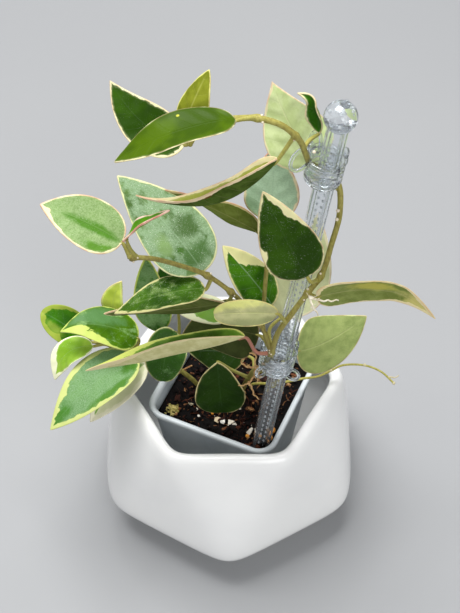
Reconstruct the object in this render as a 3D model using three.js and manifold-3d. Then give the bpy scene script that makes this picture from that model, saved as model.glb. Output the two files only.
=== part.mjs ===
// A potted climbing hoya: faceted planter, square nursery pot, bark mix, clear stake with two
// clips, twining stems and variegated leaves. Millimetres, +Z up, origin under the middle of
// the planter's foot, front towards -Y.
import * as THREE from 'three';
import { mergeVertices } from 'three/addons/utils/BufferGeometryUtils.js';
import Module from 'manifold-3d';

const wasm = await Module();
wasm.setup();

// Driving dimensions
const GAP = 0.3; // clearance between neighbouring pieces
const FOOT_R = 50; // planter foot, centre to corner
const BELLY_R = 81.5; // planter's widest level, centre to sharp corner
const BELLY_Z = 24; // height of the widest level
const RIM_R = 64; // planter rim, centre to sharp corner
const RIM_Z = 96; // planter height
const WALL = 7; // planter wall
const FLOOR_Z = 8; // planter floor thickness
const ROUNDNESS = 28; // higher values leave sharper planter edges
const POT_SIDE = 75; // nursery pot across the rim
const POT_BASE = 54; // nursery pot across the base
const POT_CORNER = 11; // nursery pot corner radius at the rim
const POT_WALL = 1.1;
const POT_TOP = 88; // height of the nursery pot's rim above the table
const POT_TURN = THREE.MathUtils.degToRad(-24);
const POT_AT = [2.6, 1.2];
const LIP = 2; // nursery pot's rolled rim stands out by this much
const LIP_H = 3.5;
const SOIL_TOP = 80;
const STEM_R = 1.35;
const STALK_R = 1.05;
const STAKE_W = 8.8;
const STAKE_D = 5.6;
const STAKE_RAIL = 1.8;
const STAKE_WEB = 1.4;
const BALL_R = 7.4;
const LEAF_T = 0.9;
const LEAF_STEPS = 7;
const LEAF_COLS = 4;

const UP = new THREE.Vector3(0, 0, 1);
const vec = (p) => new THREE.Vector3(...p);

// Solids and meshes

function solid(geometry) {
  const bare = geometry.clone();
  bare.deleteAttribute('normal');
  bare.deleteAttribute('uv');
  const merged = mergeVertices(bare, 1e-4);
  const vertProperties = new Float32Array(merged.attributes.position.array);
  const triVerts = new Uint32Array(merged.index.array);
  return new wasm.Manifold(new wasm.Mesh({ numProp: 3, vertProperties, triVerts }));
}

function geometryOf(body) {
  const found = body.simplify(0.08).getMesh();
  const geometry = new THREE.BufferGeometry();
  geometry.setAttribute('position', new THREE.BufferAttribute(found.vertProperties, 3));
  geometry.setIndex(new THREE.BufferAttribute(found.triVerts, 1));
  geometry.computeVertexNormals();
  return geometry;
}

function joined(bodies) {
  return bodies.reduce((sum, body) => sum.add(body));
}

// A closed skin through rings of points, each ring counted anticlockwise seen from above,
// from the first ring's centre over all rings to the last ring's centre.
function skin(rings) {
  const count = rings[0].length;
  const points = rings.flat();
  const middle = (ring) => ring.reduce((sum, p) => sum.map((v, k) => v + p[k] / count), [0, 0, 0]);
  const faces = [];
  for (let i = 0; i + 1 < rings.length; i++) {
    for (let j = 0; j < count; j++) {
      const a = i * count + j;
      const b = i * count + ((j + 1) % count);
      faces.push(a, b, b + count, a, b + count, a + count);
    }
  }
  const first = points.push(middle(rings[0])) - 1;
  const last = points.push(middle(rings[rings.length - 1])) - 1;
  const top = (rings.length - 1) * count;
  for (let j = 0; j < count; j++) {
    const next = (j + 1) % count;
    faces.push(first, next, j, last, top + j, top + next);
  }
  const geometry = new THREE.BufferGeometry();
  geometry.setAttribute('position', new THREE.Float32BufferAttribute(points.flat(), 3));
  geometry.setIndex(faces);
  return geometry;
}

function regular(radius, sides) {
  const corners = Array.from({ length: sides }, (_, k) => (2 * Math.PI * (k + 0.5)) / sides);
  return new THREE.Shape(corners.map((a) => new THREE.Vector2(radius * Math.cos(a), radius * Math.sin(a))));
}

// A round stem along a smooth curve through the points.
function stem(points, radius, sides = 6, spacing = 8) {
  const path = new THREE.CatmullRomCurve3(points.map(vec), false, 'centripetal');
  const steps = Math.max(2, Math.round(path.getLength() / spacing));
  const section = regular(radius, sides);
  return solid(new THREE.ExtrudeGeometry(section, { steps, extrudePath: path, bevelEnabled: false }));
}

function swelling(at, radius) {
  const ball = new THREE.IcosahedronGeometry(radius, 0);
  ball.translate(...at);
  return solid(ball);
}

// Planter

// The outward planes of the planter's faces. Corners alternate between the belly and the rim.
function planterPlanes() {
  const corner = (radius, turns, z) => {
    const angle = (turns * Math.PI) / 3;
    return new THREE.Vector3(radius * Math.sin(angle), -radius * Math.cos(angle), z);
  };
  const planes = [];
  const face = (...corners) => {
    const plane = new THREE.Plane().setFromCoplanarPoints(...corners);
    if (plane.distanceToPoint(new THREE.Vector3(0, 0, BELLY_Z)) > 0) plane.negate();
    planes.push(plane);
  };
  for (let k = 0; k < 6; k++) {
    const belly = corner(BELLY_R, k, BELLY_Z);
    const nextBelly = corner(BELLY_R, k + 1, BELLY_Z);
    const rim = corner(RIM_R, k + 0.5, RIM_Z);
    const nextRim = corner(RIM_R, k + 1.5, RIM_Z);
    face(belly, nextBelly, rim);
    face(nextBelly, rim, nextRim);
    face(belly, nextBelly, corner(FOOT_R, k, 0));
  }
  return planes;
}

// Distance from the axis to the planter's outside, with the edges between faces blended.
function planterRadius(planes, angle, z) {
  const out = new THREE.Vector3(Math.cos(angle), Math.sin(angle), 0);
  let sum = 0;
  for (const plane of planes) {
    const lean = plane.normal.dot(out);
    if (lean > 0.05) sum += ((-plane.constant - plane.normal.z * z) / lean) ** -ROUNDNESS;
  }
  return sum ** (-1 / ROUNDNESS);
}

function planter() {
  const planes = planterPlanes();
  const sides = 36;
  const ring = (z, inset) =>
    Array.from({ length: sides }, (_, k) => {
      const angle = (2 * Math.PI * k) / sides;
      const r = planterRadius(planes, angle, Math.min(z, RIM_Z - 3)) - inset;
      return [r * Math.cos(angle), r * Math.sin(angle), z];
    });
  const outside = [0, 4, 12, 19, 25, 32, 46, 68, 88].map((z) => ring(z, z === 0 ? 1.5 : 0));
  const lip = [ring(RIM_Z - 2.5, 0.6), ring(RIM_Z, 3.2), ring(RIM_Z - 0.8, 6.3), ring(RIM_Z - 4, WALL + 1.2)];
  const inside = [88, 60, 34, 20, FLOOR_Z].map((z) => ring(z, z < 30 ? WALL + 4 : WALL));
  return skin([...outside, ...lip, ...inside]);
}

// Nursery pot and soil

// A square ring with round corners, placed in the planter.
function squareRing(side, corner, z, perCorner = 4) {
  const flat = side / 2 - corner;
  const ring = [];
  for (let quarter = 0; quarter < 4; quarter++) {
    for (let k = 0; k <= perCorner; k++) {
      const angle = ((quarter + k / perCorner) * Math.PI) / 2;
      const across = [1, -1, -1, 1][quarter] * flat + corner * Math.cos(angle);
      const along = [1, 1, -1, -1][quarter] * flat + corner * Math.sin(angle);
      const x = across * Math.cos(POT_TURN) - along * Math.sin(POT_TURN) + POT_AT[0];
      const y = across * Math.sin(POT_TURN) + along * Math.cos(POT_TURN) + POT_AT[1];
      ring.push([x, y, z]);
    }
  }
  return ring;
}

// The pot narrows evenly from below its rim to its base.
function potRing(z, inset) {
  const share = (z - FLOOR_Z) / (POT_TOP - FLOOR_Z);
  const side = POT_BASE + (POT_SIDE - 2 * LIP - POT_BASE) * share;
  const corner = 6 + (POT_CORNER - LIP - 6) * share;
  return squareRing(side - 2 * inset, Math.max(2, corner - inset), z);
}

function nurseryPot() {
  const bottom = FLOOR_Z + GAP;
  const lipRing = (z, inset) => squareRing(POT_SIDE - 2 * inset, POT_CORNER - inset, z);
  const shell = solid(
    skin([
      potRing(bottom, 0),
      potRing(POT_TOP - LIP_H, 0),
      lipRing(POT_TOP - LIP_H, 0.3),
      lipRing(POT_TOP - 1, 0),
      lipRing(POT_TOP, 0.8),
      lipRing(POT_TOP, 2),
      potRing(POT_TOP - 1.5, POT_WALL),
      potRing(bottom + POT_WALL + 0.4, POT_WALL),
    ]),
  );
  const holes = [[0, 0], [15, 15], [-15, 15], [-15, -15], [15, -15]].map(([x, y]) => {
    const drill = new THREE.CylinderGeometry(3.2, 3.2, 8, 8);
    drill.rotateX(Math.PI / 2);
    drill.translate(x + POT_AT[0], y + POT_AT[1], bottom);
    return solid(drill);
  });
  return shell.subtract(joined(holes));
}

// A repeatable scatter of numbers between 0 and 1.
function scatter(seed) {
  let state = seed;
  return () => {
    state = (state * 16807) % 2147483647;
    return state / 2147483647;
  };
}

function soil(cuts) {
  const random = scatter(41);
  const floor = FLOOR_Z + GAP + POT_WALL + 0.4 + GAP;
  const rough = (ring, low, high) => ring.map(([x, y, z]) => [x, y, z + low + (high - low) * random()]);
  const shrunk = (share) =>
    potRing(SOIL_TOP, POT_WALL + GAP).map(([x, y, z]) => [
      POT_AT[0] + (x - POT_AT[0]) * share,
      POT_AT[1] + (y - POT_AT[1]) * share,
      z,
    ]);
  const fill = solid(
    skin([
      potRing(floor, POT_WALL + GAP),
      potRing(SOIL_TOP - 3, POT_WALL + GAP),
      rough(shrunk(0.93), -2.5, -0.5),
      rough(shrunk(0.72), -1.5, 0.8),
      rough(shrunk(0.48), -1.5, 0.8),
      rough(shrunk(0.24), -1, 0.5),
    ]),
  );
  const chips = [];
  for (let k = 0; k < 14; k++) {
    const reach = 29 * Math.sqrt(random());
    const angle = 2 * Math.PI * random();
    const chip = new THREE.BoxGeometry(4 + 7 * random(), 2.5 + 3 * random(), 1.5 + 2.5 * random());
    chip.rotateX(0.7 * (random() - 0.5));
    chip.rotateY(0.7 * (random() - 0.5));
    chip.rotateZ(2 * Math.PI * random());
    const x = POT_AT[0] + reach * Math.cos(angle);
    const y = POT_AT[1] + reach * Math.sin(angle);
    chip.translate(x, y, SOIL_TOP - 0.4 + 0.8 * random());
    chips.push(solid(chip));
  }
  return fill.add(joined(chips)).subtract(joined(cuts));
}

// Stake

const STAKE_FOOT = [15.2, -34.1, 65];
const STAKE_HEAD = [47.2, -22, 313.7];

// Turns a geometry from the Z axis to the stake's line and moves it up that line.
const stakeLine = vec(STAKE_HEAD).sub(vec(STAKE_FOOT));
const stakeTurn = new THREE.Quaternion().setFromUnitVectors(UP, stakeLine.clone().normalize());
const stakeLength = stakeLine.length();

function onStake(geometry, height) {
  const at = vec(STAKE_FOOT).addScaledVector(stakeLine, height / stakeLength);
  return geometry.applyQuaternion(stakeTurn).translate(at.x, at.y, at.z);
}

// Two rails joined by a web, as a plan seen from above.
function stakeShape(grow) {
  const w = STAKE_W / 2 + grow;
  const d = STAKE_D / 2 + grow;
  const inner = STAKE_W / 2 - STAKE_RAIL - grow;
  const web = STAKE_WEB / 2 + grow;
  const quarter = [[w, d], [inner, d], [inner, web]];
  const half = [...quarter, ...quarter.map(([x, y]) => [-x, y]).reverse()];
  const outline = [...half, ...half.map(([x, y]) => [-x, -y])];
  return new THREE.Shape(outline.map(([x, y]) => new THREE.Vector2(x, y)));
}

function stake(grow = 0) {
  const bar = new THREE.ExtrudeGeometry(stakeShape(grow), { depth: stakeLength - 3, bevelEnabled: false });
  const ball = new THREE.SphereGeometry(BALL_R + grow, 12, 9);
  ball.rotateX(Math.PI / 2);
  const nub = new THREE.ConeGeometry(1.8, 3.5, 6);
  nub.rotateX(Math.PI / 2);
  nub.translate(0, 0, BALL_R + 0.8);
  nub.rotateY(0.35);
  const pieces = [onStake(bar, 0), onStake(ball, stakeLength), onStake(nub, stakeLength)];
  return joined(pieces.map(solid));
}

// Clips

// A ribbed barrel with a flared, toothed mouth, two loop handles and a spring ring between them.
function clip({ height, aside, radius, depth, teeth, handles, loop }) {
  const wall = 1.3;
  const ribs = [-0.5, -0.3, -0.1, 0.1, 0.3, 0.5];
  const outer = ribs.map((share, k) => [radius + (k % 2 ? 0.8 : 0), share * depth]);
  const inner = [[radius + 1.2 - wall, 0.5 * depth], [radius - wall, 0.3 * depth], [radius - wall, -0.5 * depth]];
  const profile = [...outer.slice(0, -1), [radius + 1.2, 0.5 * depth], ...inner, outer[0]];
  const barrel = new THREE.LatheGeometry(profile.map(([r, z]) => new THREE.Vector2(r, z)), 12);
  barrel.rotateX(Math.PI / 2);
  const pieces = [barrel];
  for (let k = 0; k < teeth; k++) {
    const tooth = new THREE.CylinderGeometry(0.5, 2.4, 4, 4);
    tooth.rotateX(Math.PI / 2);
    tooth.translate(radius + 0.5, 0, 0.5 * depth + 1.2);
    tooth.rotateZ((2 * Math.PI * k) / teeth + 0.4);
    pieces.push(tooth);
  }
  for (const { around, lean, drop } of handles) {
    const outline = new THREE.Shape();
    outline.absellipse(0, 0, loop[0], loop[1], 0, 2 * Math.PI, false, 0);
    const hole = new THREE.Path();
    hole.absellipse(0, 0, loop[0] - 1.5, loop[1] - 1.5, 0, 2 * Math.PI, true, 0);
    outline.holes.push(hole);
    const handle = new THREE.ExtrudeGeometry(outline, { depth: 2.4, bevelEnabled: false, curveSegments: 5 });
    handle.translate(0, 0, -1.2);
    handle.rotateX(Math.PI / 2);
    handle.rotateY(lean);
    handle.translate(radius + loop[0] - 1.2, 0, drop);
    handle.rotateZ(around);
    pieces.push(handle);
  }
  const spring = new THREE.TorusGeometry(2.4, 0.8, 5, 7);
  spring.rotateX(Math.PI / 2);
  spring.translate(0, -radius - 0.7, -0.1 * depth);
  pieces.push(spring);
  for (const piece of pieces) onStake(piece.translate(...aside, 0), height);
  return joined(pieces.map(solid));
}

const UPPER_CLIP = {
  height: 219,
  aside: [-1, 2.5],
  radius: 8,
  depth: 13,
  teeth: 3,
  loop: [4.6, 7.8],
  handles: [{ around: Math.PI + 0.1, lean: -0.3, drop: 4.5 }, { around: 2, lean: -0.3, drop: 4.5 }],
};
const LOWER_CLIP = {
  height: 89,
  aside: [-2.1, -0.3],
  radius: 8.2,
  depth: 13,
  teeth: 5,
  loop: [3.6, 5.6],
  handles: [{ around: -0.75, lean: 0.7, drop: -4 }, { around: -2.4, lean: 0.7, drop: -4 }],
};

// Stems, each a list of points on its middle line

const MAIN_STEM = [
  [8, 4, 60], [8, 3, 78], [11, -8, 105], [14, -21, 130], [18, -30, 143], [19.5, -33, 154], [21, -37, 167],
  [24, -38, 185], [30, -37, 198], [37, -34, 210], [43, -31, 219], [47, -28, 238],
  [50, -24, 256], [49, -17, 267], [43, -16, 274], [36, -19, 282], [33, -24, 294],
  [30, -27, 305], [22, -28, 315], [12, -28, 319], [5, -25, 316], [-4, -21, 311], [-12, -18.5, 304.5],
  [-17, -20, 295],
];
const LEFT_SHOOT = [
  [21, -37, 167], [17, -37, 184], [9, -36, 201], [1, -35, 212], [-10, -34, 223], [-24, -38, 236],
  [-35, -42, 245], [-44, -44, 248],
];
const MIDDLE_SHOOT = [[21, -37, 167], [17, -31, 178], [17, -27, 195], [18, -22, 216], [19, -17, 232]];
const LOW_STEM = [[-16, 6, 60], [-17, 5, 78], [-27, 5, 94], [-38, 6, 107], [-49, 4, 114], [-60, 2, 117]];
const BARE_SHOOT = [
  [12, 6, 70], [13, 2, 84], [21, -3, 92], [31, -4, 95], [40, -4, 98], [48, -4, 100], [55, -3, 104],
  [61, -1, 106], [73, -1, 106], [82, -3, 103], [89, -7, 98],
];

const NODES = [
  [37, -34, 210], [43, -31, 219], [28, -27, 308], [12, -28, 319], [-13, -19, 303],
  [-10, -34, 223], [-43, -44, 248], [1, -35, 212], [21, -37, 167], [19, -18, 230],
];

function mainVine(grow = 0) {
  const swell = NODES.map((at) => swelling(at, 1.95 + grow));
  const shoots = [
    stem(MAIN_STEM, STEM_R + grow),
    stem(LEFT_SHOOT, STEM_R - 0.1 + grow),
    stem(MIDDLE_SHOOT, STEM_R - 0.3 + grow),
  ];
  return joined([...shoots, ...swell]);
}

function lowVine(grow = 0) {
  const swell = [[-38, 6, 107], [-60, 2, 117]].map((at) => swelling(at, 1.9 + grow));
  return joined([stem(LOW_STEM, STEM_R - 0.05 + grow), ...swell]);
}

function bareShoot(grow = 0) {
  const fork = stem([[86, -5, 101], [90, -4, 99], [92, -2, 98]], 0.5 + grow, 5, 3);
  return joined([stem(BARE_SHOOT, 0.7 + grow, 6), fork]);
}

// Aerial roots, each group grown from one knot
const LOW_KNOT = [14, -31, 146];
const LOW_ROOTS = [
  [[17, -27, 139], LOW_KNOT],
  [LOW_KNOT, [9, -34, 151], [6, -34, 155], [8, -34, 158]],
  [LOW_KNOT, [12, -33, 139], [9, -33, 134], [5, -32, 131]],
  [LOW_KNOT, [15, -34, 142], [14, -34, 137]],
  [[10, -33, 136], [12, -31, 127], [13, -31, 122], [16, -31, 117]],
  [LOW_KNOT, [13, -35, 154], [13, -34, 161], [10, -33, 161]],
];
const NODE_KNOT = [38.5, -37, 210];
const NODE_ROOTS = [
  [[37.5, -35, 210], NODE_KNOT],
  [NODE_KNOT, [39, -40, 208], [41, -41, 205], [42, -41, 202]],
  [NODE_KNOT, [43, -40, 212], [47, -41, 213], [51, -40, 212]],
];

function roots(knot, lines, radius) {
  return joined([swelling(knot, 2.4 * radius), ...lines.map((line) => stem(line, radius, 4, 4))]);
}

// Leaves

// Each leaf: where its stalk leaves the stem, the blade's base, a point half-way along the
// midrib and the tip, the blade's full width and the way its upper face looks. Optional: bend
// (a point on the stalk), fold (degrees that each half rises), round and taper (fullness of
// the base and slimness of the tip), twist (degrees over the length), wave (edge waves in
// millimetres), hook (how far the last part of the tip is carried away), colour.
const LEAVES = {
  leaf_top_long: {
    from: [12, -28, 319], bend: [8, -30, 321], base: [3, -29, 319], mid: [-22, -35, 318], tip: [-48, -38, 303],
    width: 22, face: [0, 0.05, 1], fold: 8, taper: 0.8, colour: 0x4f8414,
  },
  leaf_top_left: {
    from: [-16, -20, 296], base: [-19, -20, 295], mid: [-37, -12, 300], tip: [-51, 0, 314],
    width: 21.5, face: [0.1, -0.6, 0.8], fold: 8, round: 0.6, taper: 1, colour: 0x24520c,
  },
  leaf_top_narrow: {
    from: [-13, -19, 303], bend: [-17, -18.5, 302], base: [-20, -19, 300], mid: [-15, -13, 313],
    tip: [-8, -4, 324], width: 15, face: [0.6, 0.75, -0.2], fold: 14, colour: 0x6b7a24,
  },
  leaf_back_top: {
    from: [49, -18, 265], bend: [44, -11, 264], base: [39, -6, 268], mid: [28, 1, 284], tip: [19, 11, 303],
    width: 30, face: [0.1, 0.75, -0.65], fold: 6, taper: 1.15, wave: 1, colour: 0xa9b886,
  },
  leaf_folded: {
    from: [28, -27, 308], base: [21, -30, 297], mid: [-5, -37, 277], tip: [-41, -30, 274],
    width: 20, face: [0.1, 0.45, 0.88], fold: 48, taper: 1.4, colour: 0x4b6420,
  },
  leaf_silver: {
    from: [-12, -34, 225], base: [-12, -28, 218], mid: [-28, -12, 231], tip: [-52, 4, 250],
    width: 33, face: [0.1, -0.45, 0.89], fold: 5, round: 0.55, colour: 0x6f9672,
  },
  leaf_left: {
    from: [-44, -44, 248], base: [-47, -42, 256], mid: [-65, -36, 264], tip: [-83, -32, 270],
    width: 25, face: [0.05, -0.35, 0.93], fold: 8, round: 0.5, colour: 0x5b8a45,
  },
  leaf_edge_on: {
    from: [-41, -43, 247], bend: [-43.5, -45, 255], base: [-44.8, -46, 262], mid: [-38, -48, 274],
    tip: [-25, -46, 282], width: 11, face: [-0.72, 0.36, 0.6], fold: 15, colour: 0x547a35,
  },
  leaf_left_low: {
    from: [-8, -34, 221], base: [-11, -35, 214], mid: [-30, -37, 212.5], tip: [-54, -41, 203],
    width: 22, face: [0, 0.15, 0.98], fold: 6, colour: 0x3f6d28,
  },
  leaf_left_under: {
    from: [1, -35, 212], bend: [1, -32, 204], base: [-2, -29, 196], mid: [-31, -30, 192], tip: [-60, -34, 194],
    width: 26, face: [0, 0.94, 0.35], fold: 8, colour: 0x5a6433,
  },
  leaf_behind_left: {
    from: [-38, 6, 107], bend: [-38, 7, 118], base: [-38, 7, 126], mid: [-40, 10, 150], tip: [-42, 14, 180],
    width: 20, face: [-0.1, -0.9, 0.42], fold: 8, colour: 0x4f8a48,
  },
  leaf_lime_small: {
    from: [-60, 2, 117], bend: [-59, 12, 119], base: [-60, 17, 127], mid: [-61, 19, 138], tip: [-56, 21, 151],
    width: 13, face: [-0.3, -0.85, 0.4], fold: 10, colour: 0xa9c23c,
  },
  leaf_far_left: {
    from: [-57, 3, 116], bend: [-65, 10, 111], base: [-75, 11, 111], mid: [-88, 13, 124], tip: [-100, 17, 130],
    width: 20, face: [-0.2, -0.4, 0.9], fold: 12, round: 0.5, taper: 0.6, colour: 0x55822f,
  },
  leaf_left_curled: {
    from: [-50, 4, 115], bend: [-48, 4, 120], base: [-48, 3, 125], mid: [-66, 2, 137], tip: [-86, -1, 142],
    width: 25, face: [-0.1, -0.1, 0.98], fold: 4, round: 0.5, hook: [-2, -1, -5], colour: 0x4f8a3a,
  },
  leaf_small_bright: {
    from: [-60, 2, 117], bend: [-66, 2, 121], base: [-72, 0, 122], mid: [-86, -4, 120], tip: [-93, -10, 105],
    width: 16, face: [-0.2, -0.25, 0.95], fold: 12, colour: 0x8fc02c,
  },
  leaf_big_low: {
    from: [-46, 4, 112], bend: [-46, -1, 117], base: [-49, -4, 119], mid: [-71, -21, 117], tip: [-94, -38, 99],
    width: 31, face: [-0.15, -0.1, 0.98], fold: 5, colour: 0x7fa56a,
  },
  leaf_cream_fold: {
    from: [-38, 6, 107], bend: [-40, 2, 109], base: [-44, -3, 111], mid: [-60, -17, 107], tip: [-74, -29, 93],
    width: 20, face: [0.45, -0.2, 0.87], fold: 30, colour: 0xd8d6ae,
  },
  leaf_long_cream: {
    from: [20.5, -36, 165], bend: [14, -38, 168], base: [8, -38, 181], mid: [-29, -39, 167], tip: [-72, -36, 150],
    width: 25, face: [0, 0.62, 0.78], fold: 38, colour: 0xb7b183,
  },
  leaf_dark_low: {
    from: [-27, 5, 94], bend: [-28, 6, 118], base: [-28, 2, 132], mid: [-33, -6, 125], tip: [-35, -13, 108],
    width: 22, face: [0, -0.8, 0.6], fold: 6, round: 0.4, taper: 0.42, colour: 0x2f5a2a,
  },
  leaf_heart: {
    from: [10, -8, 105], bend: [1, -13, 119], base: [-6, -17, 131], mid: [-5, -19, 111], tip: [-3.5, -22, 92],
    width: 27, face: [0, -0.95, 0.3], fold: 7, round: 0.8, taper: 0.42, colour: 0x1f3f16,
  },
  leaf_olive_under: {
    from: [20, -35, 168], bend: [17, -29, 168], base: [15, -24, 164], mid: [-2, -18, 160], tip: [-24, -14, 150],
    width: 33, face: [0.1, 0.88, -0.45], fold: 5, round: 0.55, colour: 0x49532c,
  },
  leaf_low_hidden: {
    from: [13, -17, 122], bend: [13, -9, 122], base: [9, -4, 119], mid: [-6, 2, 115], tip: [-22, 7, 108],
    width: 24, face: [0, -0.7, 0.7], fold: 6, colour: 0x2c4420,
  },
  leaf_pale_bud: {
    from: [27, -38, 193], base: [23, -41, 203], mid: [8, -45, 209], tip: [-7, -43, 205],
    width: 13, face: [0, 0.7, -0.7], fold: -8, round: 0.5, taper: 0.45, colour: 0xb9bd8e,
  },
  leaf_mid_strip: {
    from: [9, -36, 201], bend: [6, -30, 190], base: [1, -22, 176], mid: [-14, -17, 176], tip: [-30, -12, 173],
    width: 16, face: [0, -0.3, 0.95], fold: 10, colour: 0x8ea35a,
  },
  leaf_back_mid: {
    from: [-31, 5, 99], bend: [-27, 13, 115], base: [-27, 15, 136], mid: [-30, 17, 152], tip: [-35, 20, 168],
    width: 18, face: [0.2, -0.9, 0.35], fold: 8, colour: 0x35622c,
  },
  leaf_upright: {
    from: [17, -29, 184], base: [21, -24, 188], mid: [10, -17, 202], tip: [-3, -9, 215],
    width: 20, face: [0.15, -0.75, 0.65], fold: 14, colour: 0x4c7d2a,
  },
  leaf_front: {
    from: [41, -32, 217], bend: [38, -37, 222], base: [36, -37, 226], mid: [26, -34, 248], tip: [15, -26, 272],
    width: 27.5, face: [-0.1, -0.72, 0.68], fold: 5, round: 0.5, colour: 0x234d0c,
  },
  leaf_silver_back: {
    from: [19, -17, 232], base: [19, -12, 236], mid: [20, -4, 250], tip: [20, 4, 268],
    width: 26, face: [0, -0.6, 0.8], fold: 6, colour: 0x86a892,
  },
  leaf_olive_back: {
    from: [18, -20, 224], base: [14, -19, 236], mid: [-4, -18, 250], tip: [-29, -15, 261],
    width: 18, face: [0.1, 0.9, 0.35], fold: 10, taper: 1.1, colour: 0x6d7a3a,
  },
  leaf_right: {
    from: [37, -34, 210], base: [41, -35, 209], mid: [67, -31, 209], tip: [94, -30, 201],
    width: 26, face: [-0.05, 0.97, 0.22], fold: -6, round: 0.4, taper: 1, hook: [6, -2, -14], colour: 0x7e9150,
  },
  leaf_right_low: {
    from: [16, -26, 136], bend: [25, -21, 131], base: [35, -15, 138], mid: [52, -6, 135], tip: [72, 5, 142],
    width: 30, face: [0.1, 0.75, -0.62], fold: 4, round: 0.5, colour: 0x7c9458,
  },
  leaf_cream_back: {
    from: [21, -37, 170], bend: [20, -27, 172], base: [27, -15, 168], mid: [36, -6, 193], tip: [43, 4, 224],
    width: 31, face: [0.1, 0.8, -0.55], fold: 4, taper: 1, colour: 0xc9cda0,
  },
  leaf_by_ball: {
    from: [32, -25, 298], bend: [35, -19, 297], base: [39, -15, 297], mid: [38, -12, 307], tip: [33, -10, 318],
    width: 11, face: [-0.7, -0.4, 0.6], fold: 34, hook: [-4, 0, -2], colour: 0x37701a,
  },
};

// Width along the blade, 1 at the widest place.
function fullness(t, round, taper) {
  const widest = round / (round + taper);
  return (t / widest) ** round * ((1 - t) / (1 - widest)) ** taper;
}

// A point of the blade's middle surface: t from base to tip, s from one edge to the other.
function bladePoint(leaf, t, s) {
  const { round = 0.6, taper = 0.9, fold = 8, twist = 0, wave = 0.7, hook = [0, 0, 0] } = leaf;
  const [base, mid, tip] = [leaf.base, leaf.mid, leaf.tip].map(vec);
  const at = base.clone().multiplyScalar((1 - t) * (1 - 2 * t));
  at.addScaledVector(mid, 4 * t * (1 - t)).addScaledVector(tip, t * (2 * t - 1));
  const late = Math.max(0, (t - 0.7) / 0.3);
  at.addScaledVector(vec(hook), late * late);
  const along = base.multiplyScalar(4 * t - 3).addScaledVector(mid, 4 - 8 * t).addScaledVector(tip, 4 * t - 1);
  along.addScaledVector(vec(hook), (2 * late) / 0.3).normalize();
  const face = vec(leaf.face).applyAxisAngle(along, THREE.MathUtils.degToRad(twist) * (t - 0.5));
  const side = along.clone().cross(face).normalize();
  const up = side.clone().cross(along);
  const half = Math.max(0.5, (leaf.width / 2) * fullness(t, round, taper));
  const rise = THREE.MathUtils.degToRad(fold);
  const ripple = wave * Math.sin(9 * t + 2.1 * Math.sign(s)) * s * s * Math.min(1, half / 5);
  at.addScaledVector(side, half * s * Math.cos(rise));
  return at.addScaledVector(up, half * Math.sin(rise) * Math.abs(s) ** 1.4 + ripple);
}

function blade(leaf) {
  const rows = LEAF_STEPS + 1;
  const cols = LEAF_COLS + 1;
  const share = (i) => 0.012 + 0.976 * (0.5 - 0.5 * Math.cos((Math.PI * i) / LEAF_STEPS)) ** 0.9;
  const middle = [];
  for (let i = 0; i < rows; i++) {
    for (let j = 0; j < cols; j++) middle.push(bladePoint(leaf, share(i), (2 * j) / LEAF_COLS - 1));
  }
  const near = (i, j) => middle[Math.min(rows - 1, Math.max(0, i)) * cols + Math.min(cols - 1, Math.max(0, j))];
  const points = [];
  for (const way of [1, -1]) {
    for (let i = 0; i < rows; i++) {
      for (let j = 0; j < cols; j++) {
        const along = near(i + 1, j).clone().sub(near(i - 1, j));
        const across = near(i, j + 1).clone().sub(near(i, j - 1));
        const normal = across.cross(along).normalize();
        const at = near(i, j).clone().addScaledVector(normal, (way * LEAF_T) / 2);
        points.push(at.x, at.y, at.z);
      }
    }
  }
  const under = rows * cols;
  const faces = [];
  for (let i = 0; i < LEAF_STEPS; i++) {
    for (let j = 0; j < LEAF_COLS; j++) {
      const a = i * cols + j;
      const [b, c, d] = [a + 1, a + cols + 1, a + cols];
      faces.push(a, b, c, a, c, d);
      faces.push(under + a, under + c, under + b, under + a, under + d, under + c);
    }
  }
  const rim = [];
  for (let j = 0; j < LEAF_COLS; j++) rim.push(j);
  for (let i = 0; i < LEAF_STEPS; i++) rim.push(i * cols + LEAF_COLS);
  for (let j = LEAF_COLS; j > 0; j--) rim.push(LEAF_STEPS * cols + j);
  for (let i = LEAF_STEPS; i > 0; i--) rim.push(i * cols);
  rim.forEach((a, k) => {
    const b = rim[(k + 1) % rim.length];
    faces.push(a, under + a, under + b, a, under + b, b);
  });
  const geometry = new THREE.BufferGeometry();
  geometry.setAttribute('position', new THREE.Float32BufferAttribute(points, 3));
  geometry.setIndex(faces);
  return solid(geometry);
}

// A blade with its stalk. The stalk stops short of the stem that bears it.
function leafBody(leaf, stems) {
  const into = bladePoint(leaf, 0.1, 0).toArray();
  const route = [leaf.from, ...(leaf.bend ? [leaf.bend] : []), leaf.base, into];
  const stalk = stem(route, STALK_R, 4, 8);
  return blade(leaf).add(stalk).subtract(stems);
}

// The plant in its pots

const plant = new THREE.Group();

function place(name, body, colour, roughness = 0.5, metalness = 0) {
  const material = new THREE.MeshStandardMaterial({ color: colour, roughness, metalness });
  const mesh = new THREE.Mesh(body.isBufferGeometry ? body : geometryOf(body), material);
  mesh.name = name;
  plant.add(mesh);
  return mesh;
}

const stemRoom = mainVine(GAP);
const lowRoom = lowVine(GAP);
const stems = stemRoom.add(lowRoom);
const stakeRoom = stake(GAP);

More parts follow.
